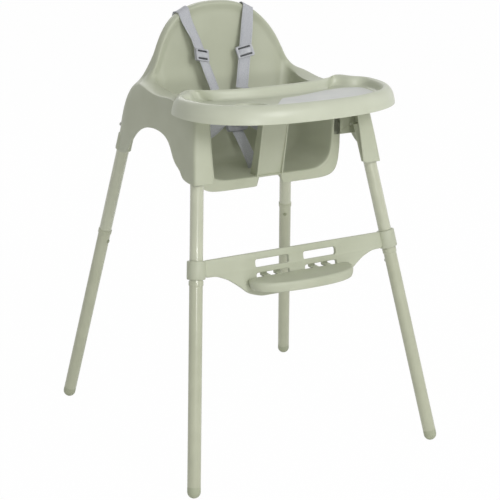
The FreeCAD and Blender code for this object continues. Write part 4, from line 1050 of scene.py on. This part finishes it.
BUCKLE_CENTRE, BUCKLE_LEAN = Vector((0.0, 38.0, 640.0)), math.radians(17.0)
BUCKLE_HALF = (24.0, 8.0, 22.0)


def buckle_frame(forward):
    """A place in the buckle: local X across, Y up, Z forwards."""
    up = Vector((0, math.sin(BUCKLE_LEAN), math.cos(BUCKLE_LEAN)))
    ahead = Vector((0, -math.cos(BUCKLE_LEAN), math.sin(BUCKLE_LEAN)))
    return axes(BUCKLE_CENTRE + ahead * forward, (1, 0, 0), up)


def make_buckle():
    """Five-point buckle: a domed cover with a round well for its button, and a flat back."""
    half_x, half_y, half_z = BUCKLE_HALF
    outline = rounded(block(half_x, half_z), 10)
    well = circle((0, -2), 10.6)
    cover = moulded_plate("cover", outline, buckle_frame(half_y - 2.6), 5.2, 2.4, [well])
    skirt = rounded(block(half_x - 0.8, half_z - 0.8), 10)
    inside = rounded(block(half_x - 3, half_z - 3), 8)
    wall = moulded_plate("skirt", skirt, buckle_frame(1.9), 3.6, 0.3, [inside])
    place_piece(join("buckle_cover", [cover, wall]), buckle_plastic, "chair", "buckle_plastic",
                "buckle_front")
    back = moulded_plate("buckle_back_cover", outline, buckle_frame(-1.25), 2.3, 0.9)
    place_piece(back, buckle_plastic, "chair", "buckle_plastic", "buckle_back")
    cap = moulded_plate("release_button", circle((0, -2), 9.9, 56), buckle_frame(half_y - 0.8), 4.3, 1.3)
    place_piece(cap, button_plastic, "buckle_button", "snap_button", "buckle_button")


def buckle_point(x, forward, up):
    """A point of the buckle's own space as a place in millimetres."""
    return tuple((buckle_frame(forward) @ Vector((x * MM, up * MM, 0))) / MM)


def box_seams(first, last):
    """Seams near both edges of a web, on both faces, over a share of its length."""
    return [(first, last, offset, face) for face in (-1, 1) for offset in (-SEAM_OFFSET, SEAM_OFFSET)]


def make_lower_straps():
    """Crotch and waist webs, each sewn where it is folded back."""
    foot = buckle_point(0, 2.2, -BUCKLE_HALF[2] + 1)
    path = [(0, -34.5, PAN_HEIGHT - 2.4), (0, -33, 563), (0, -26, 571), (0, -2, 594), foot]
    make_strap("crotch_web", path, [(1, 0, 0)] * 5, "crotch_strap", box_seams(0.3, 0.62))
    for name, side in (("left", -1), ("right", 1)):
        end = buckle_point(BUCKLE_HALF[0] + 6.4, 1, 2)
        path = [(112, 79.75, 611), (112, 60, 611), (96, 46, 612), (62, 36, 622), end]
        path = [(side * p[0], p[1], p[2]) for p in path]
        make_strap("waist_web_" + name, path, [(0, 0.1, 1)] * 5, "waist_strap_" + name,
                   box_seams(0.74, 0.94))


KEEPER_THICKNESS = 7.0


def make_keepers():
    """Black keepers that hold the straps' ends behind and under the shell."""
    for name in ("left", "right"):
        for kind in ("shoulder", "waist"):
            low, high = (Vector(corner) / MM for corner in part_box("%s_anchor_%s" % (kind, name)))
            if kind == "shoulder":
                low.y = high.y - KEEPER_THICKNESS
            middle, size = (low + high) / 2, high - low
            keeper = moulded_plate("%s_keeper_%s" % (kind, name), rounded(block(size.x / 2, size.z / 2), 3),
                                   axes(middle, (1, 0, 0), (0, 0, 1)), size.y, 0.8)
            place_piece(keeper, keeper_plastic, "chair", "keeper_plastic", "%s_anchor_%s" % (kind, name))
    low, high = (Vector(corner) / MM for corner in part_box("crotch_anchor"))
    middle, size = (low + high) / 2, high - low
    keeper = moulded_plate("crotch_keeper", rounded(block(size.x / 2, size.y / 2), 3),
                           axes(middle, (1, 0, 0), (0, 1, 0)), size.z, 0.8, [rounded(block(13.5, 1.6), 1)])
    place_piece(keeper, keeper_plastic, "chair", "keeper_plastic", "crotch_anchor")


for half_name, half_side in (("left", -1), ("right", 1)):
    make_shoulder_strap(half_name, half_side)
    make_adjuster(half_name, half_side)
    make_tongue(half_name, half_side)
make_buckle()
make_lower_straps()
make_keepers()

# ------------------------------------------------------------------ camera, light and floor

CAMERA_PLACE = Vector((-1519.6, -2643.4, 1301.3)) * MM
CAMERA_TARGET = Vector((0, -23.4, 379.3)) * MM
CAMERA_ROLL = math.radians(0.26)
# the lens length as a multiple of the sensor width
FOCAL_SHARE = 3.07
SENSOR_WIDTH = 36.0
WORLD_LIGHT, FLOOR_GLOW = 0.42, 0.985


def make_camera():
    """Long lens from the front left, a little above the tray."""
    camera = in_scene("camera", bpy.data.cameras.new("camera"))
    camera.data.sensor_width = SENSOR_WIDTH
    camera.data.lens = FOCAL_SHARE * SENSOR_WIDTH
    camera.data.clip_end = 60
    aim = (CAMERA_TARGET - CAMERA_PLACE).to_track_quat("-Z", "Y")
    camera.matrix_world = Matrix.Translation(CAMERA_PLACE) @ aim.to_matrix().to_4x4() @ Matrix.Rotation(
        CAMERA_ROLL, 4, "Z")
    bpy.context.scene.camera = camera


def make_lamp(name, place, target, size, power):
    """A round soft lamp aimed at a target."""
    lamp = in_scene(name, bpy.data.lights.new(name, "AREA"))
    lamp.data.shape = "DISK"
    lamp.data.size = size
    lamp.data.energy = power
    aim = (Vector(target) - Vector(place)).to_track_quat("-Z", "Y")
    lamp.matrix_world = Matrix.Translation(Vector(place)) @ aim.to_matrix().to_4x4()


def seen_directly(tree):
    """1 for rays from the camera or off a glossy face, 0 for the rest."""
    path = add(tree, "ShaderNodeLightPath")
    either = add(tree, "ShaderNodeMath",
                 {0: path.outputs["Is Camera Ray"], 1: path.outputs["Is Glossy Ray"]}, operation="MAXIMUM")
    return either.outputs[0]


def make_stage():
    """A pale floor that the camera sees as white, and a world that does the same."""
    bpy.ops.mesh.primitive_plane_add(size=60, location=(0, 0, -0.0005))
    floor = bpy.context.object
    floor.name = "floor"
    material, tree, shader = new_material("pale_floor", Roughness=0.9)
    shader.inputs["Base Color"].default_value = linear("#f2f2f0")
    glow = add(tree, "ShaderNodeEmission", Strength=1.0)
    share = add(tree, "ShaderNodeMath", {0: seen_directly(tree)}, operation="MULTIPLY", i1=FLOOR_GLOW)
    blend = add(tree, "ShaderNodeMixShader", {0: share.outputs[0]})
    tree.links.new(shader.outputs[0], blend.inputs[1])
    tree.links.new(glow.outputs[0], blend.inputs[2])
    output = next(node for node in tree.nodes if node.type == "OUTPUT_MATERIAL")
    tree.links.new(blend.outputs[0], output.inputs["Surface"])
    floor.data.materials.append(material)
    world = bpy.data.worlds.new("studio")
    bpy.context.scene.world = world
    world.use_nodes = True
    tree = world.node_tree
    tree.nodes.clear()
    low = add(tree, "ShaderNodeBackground", Color=linear("#ffffff"), Strength=WORLD_LIGHT)
    white = add(tree, "ShaderNodeBackground", Color=(1, 1, 1, 1), Strength=1.0)
    blend = add(tree, "ShaderNodeMixShader", {0: seen_directly(tree), 1: low.outputs[0], 2: white.outputs[0]})
    output = add(tree, "ShaderNodeOutputWorld")
    tree.links.new(blend.outputs[0], output.inputs["Surface"])


make_camera()
make_stage()
make_lamp("key", (0.3, -3.1, 2.3), (0, 0, 0.5), 1.4, 45)
make_lamp("strip", (-0.9, -3.2, 1.0), (0, 0, 0.4), 0.3, 14)
make_lamp("fill", (3.0, -0.6, 1.8), (0, 0, 0.5), 2.0, 7)
make_lamp("back", (0.4, 2.6, 2.4), (0, 0, 0.6), 1.8, 18)
bpy.context.scene.view_settings.view_transform = "Standard"
